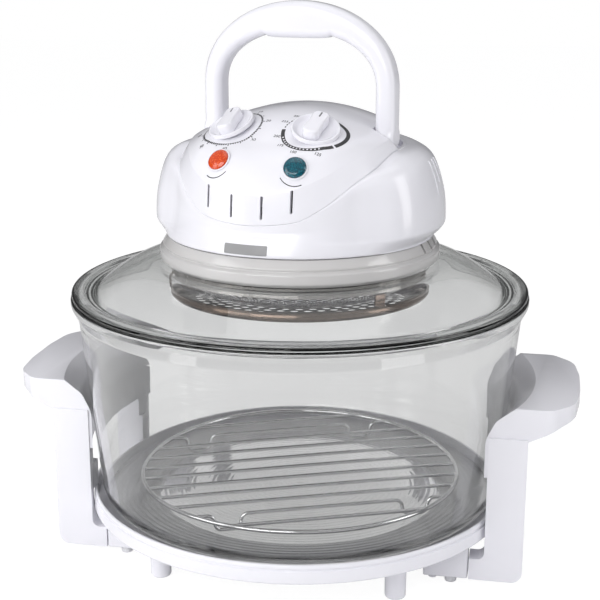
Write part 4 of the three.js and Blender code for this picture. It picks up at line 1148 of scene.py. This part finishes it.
def make_heater():
    length = full_turn - tube_gap
    start = quarter_turn + tube_gap / 2
    steps = 96
    path = [polar(tube_radius, start + length * i / steps, tube_height) for i in range(steps + 1)]
    tube = wire("halogen_tube_body", path, half_tube, sides=20)
    finish_on_lid(tube, quartz, ["halogen_tube"])
    path = []
    steps = coil_turns * 8
    for i in range(steps + 1):
        share = i / steps
        angle = start + coil_inset + (length - 2 * coil_inset) * share
        twist = full_turn * coil_turns * share
        radius = tube_radius + half_coil * math.cos(twist)
        path.append(polar(radius, angle, tube_height + half_coil * math.sin(twist)))
    coil = wire("halogen_filament", path, 0.25, sides=5)
    finish_on_lid(coil, steel)
    reflector = lathe("reflector_body", rounded([
        (10, 19.2), (78.5, 19.2, 2), (80.4, 13.4, 0.4), (82.2, 13.4, 0.4), (82.2, 20.4, 0.6), (10, 20.4),
    ], 0.3, 4))
    finish_on_lid(reflector, steel, ["reflector"])


def make_posts():
    line = rounded([
        (94.5, 2.3), (94.5, 12.3, 1.8), (87.5, 12.3), (87.5, 10.7), (92.9, 10.7, 0.4), (92.9, 2.3),
    ], 0.3, 4)
    for i, degrees in enumerate((-152, -32, 90), 1):
        post = prism(f"guard_post_{i}_body", line, -4, 4)
        place(post, to_lid @ spun(math.radians(degrees)) @ upright)
        finish_piece(post, dark_steel, "lid", [f"guard_post_{i}"])


def make_gland():
    made = lathe("cable_gland_body", rounded([
        (3.6, 94), (7, 94), (7, 106.2), (10, 106.3, 0.8), (10, 108, 0.8), (7, 108.2), (6.6, 112, 1),
        (3.6, 112),
    ], 0.4, 4), round_sides)
    place(made, to_lid @ gland_seat)
    finish_piece(made, black, "lid", ["cable_gland"])


make_bowl()
make_base()
make_feet()
make_side_handle("right", 0)
make_side_handle("left", math.pi)
make_rack()
make_lid_glass()
make_collar()
make_head_shell()
make_plate()
make_panel()
make_knob("timer", dial_seats[0])
make_knob("thermostat", dial_seats[1])
make_lamp("power_lamp", lamp_seats[0], orange_lens)
make_lamp("heat_lamp", lamp_seats[1], teal_lens)
make_scales()
make_carry_handle()
make_guard()
make_heater()
make_posts()
make_gland()


# Stage: white floor and world, soft lamps, and the camera at the photograph's place
floor_reach = 6000
floor_height = -0.2
glow_strength = 1.15
glow_to_camera = 0.8
glow_through_glass = 0.33


def calculated(tree, operation, first, second):
    """Result of two values, the second a socket or a plain number."""
    made = add_node(tree, "Math", operation=operation)
    tree.links.new(first, made.inputs[0])
    if isinstance(second, float):
        made.inputs[1].default_value = second
    else:
        tree.links.new(second, made.inputs[1])
    return made.outputs[0]


def mixed(tree, share, first, second, target):
    """Leads a mix of two shaders to a target."""
    made = add_node(tree, "MixShader")
    for i, source in enumerate((share, first, second)):
        tree.links.new(source, made.inputs[i])
    tree.links.new(made.outputs["Shader"], target.inputs["Surface"])


def make_stage():
    corners = [(-1, -1), (1, -1), (1, 1), (-1, 1)]
    points = [(x * floor_reach, y * floor_reach, floor_height) for x, y in corners]
    floor = make_object("floor", points, [(0, 1, 2, 3)])
    material, tree, shader = new_material("floor_finish")
    set_values(shader, {"Base Color": (0.93, 0.93, 0.93, 1), "Roughness": 0.9})
    glow = add_node(tree, "Emission", {"Color": (1, 1, 1, 1), "Strength": glow_strength})
    rays = add_node(tree, "LightPath").outputs
    through = calculated(tree, "MULTIPLY", rays["Is Transmission Ray"], glow_through_glass)
    direct = calculated(tree, "MULTIPLY", rays["Is Camera Ray"], glow_to_camera)
    share = calculated(tree, "MAXIMUM", direct, through)
    output = tree.nodes["Material Output"]
    mixed(tree, share, shader.outputs["BSDF"], glow.outputs["Emission"], output)
    floor.data.materials.append(material)


def make_world():
    """White seen directly and through glass; a softer, banded studio for light and reflections."""
    world = bpy.data.worlds.new("studio")
    bpy.context.scene.world = world
    world.use_nodes = True
    tree = world.node_tree
    tree.nodes.clear()
    output = add_node(tree, "OutputWorld")
    light = add_node(tree, "Background", {"Strength": 0.8})
    seen = add_node(tree, "Background", {"Color": (1, 1, 1, 1), "Strength": 1.0})
    where = add_node(tree, "TexCoord")
    split = add_node(tree, "SeparateXYZ")
    tree.links.new(where.outputs["Generated"], split.inputs["Vector"])
    height = split.outputs["Z"]
    bands = add_node(tree, "ValToRGB")
    stops = bands.color_ramp.elements
    for stop, position in zip(stops, (0.0, 1.0)):
        stop.position = position
        stop.color = (0.5, 0.5, 0.51, 1)
    for position, level in ((0.44, 0.4), (0.49, 0.1), (0.60, 0.12), (0.70, 0.55), (0.85, 0.6)):
        stop = stops.new(position)
        stop.color = (level, level, level * 1.02, 1)
    tree.links.new(ramp(tree, height, -1, 1, 0, 1), bands.inputs["Fac"])
    tree.links.new(bands.outputs["Color"], light.inputs["Color"])
    rays = add_node(tree, "LightPath").outputs
    low = ramp(tree, height, 0.3, 0.6, 0.62, 0.0)
    through = calculated(tree, "MULTIPLY", rays["Is Transmission Ray"], low)
    share = calculated(tree, "MAXIMUM", rays["Is Camera Ray"], through)
    mixed(tree, share, light.outputs["Background"], seen.outputs["Background"], output)


def make_lamp_panel(name, place_mm, aim_height, width, height, power):
    data = bpy.data.lights.new(name, "AREA")
    data.shape = "RECTANGLE"
    data.size = width * mm
    data.size_y = height * mm
    data.energy = power
    lamp = linked(name, data)
    lamp.location = Vector(place_mm) * mm
    ahead = Vector((0, 0, aim_height)) - Vector(place_mm)
    lamp.rotation_euler = ahead.to_track_quat("-Z", "Y").to_euler()


def make_camera():
    turn = math.radians(11)
    tilt = math.radians(15.1)
    distance = 905.5
    height = 432
    focal_pixels = 1258
    picture_pixels = 600
    data = bpy.data.cameras.new("camera")
    data.sensor_width = 36
    data.lens = focal_pixels / picture_pixels * data.sensor_width
    data.clip_start = 0.05
    data.clip_end = 50
    camera = linked("camera", data)
    camera.location = (distance * math.sin(turn) * mm, -distance * math.cos(turn) * mm, height * mm)
    camera.rotation_euler = (quarter_turn - tilt, 0, turn)
    bpy.context.scene.camera = camera


make_stage()
make_world()
make_lamp_panel("key_lamp", (-350, -1500, 800), 200, 1100, 900, 11.5)
make_lamp_panel("left_lamp", (-1050, -800, 600), 180, 700, 1100, 6)
make_lamp_panel("right_lamp", (1350, -150, 600), 180, 450, 1100, 4.6)
make_lamp_panel("top_lamp", (0, 100, 1700), 100, 1200, 1200, 3.4)
make_camera()
bpy.context.scene.view_settings.view_transform = "Standard"
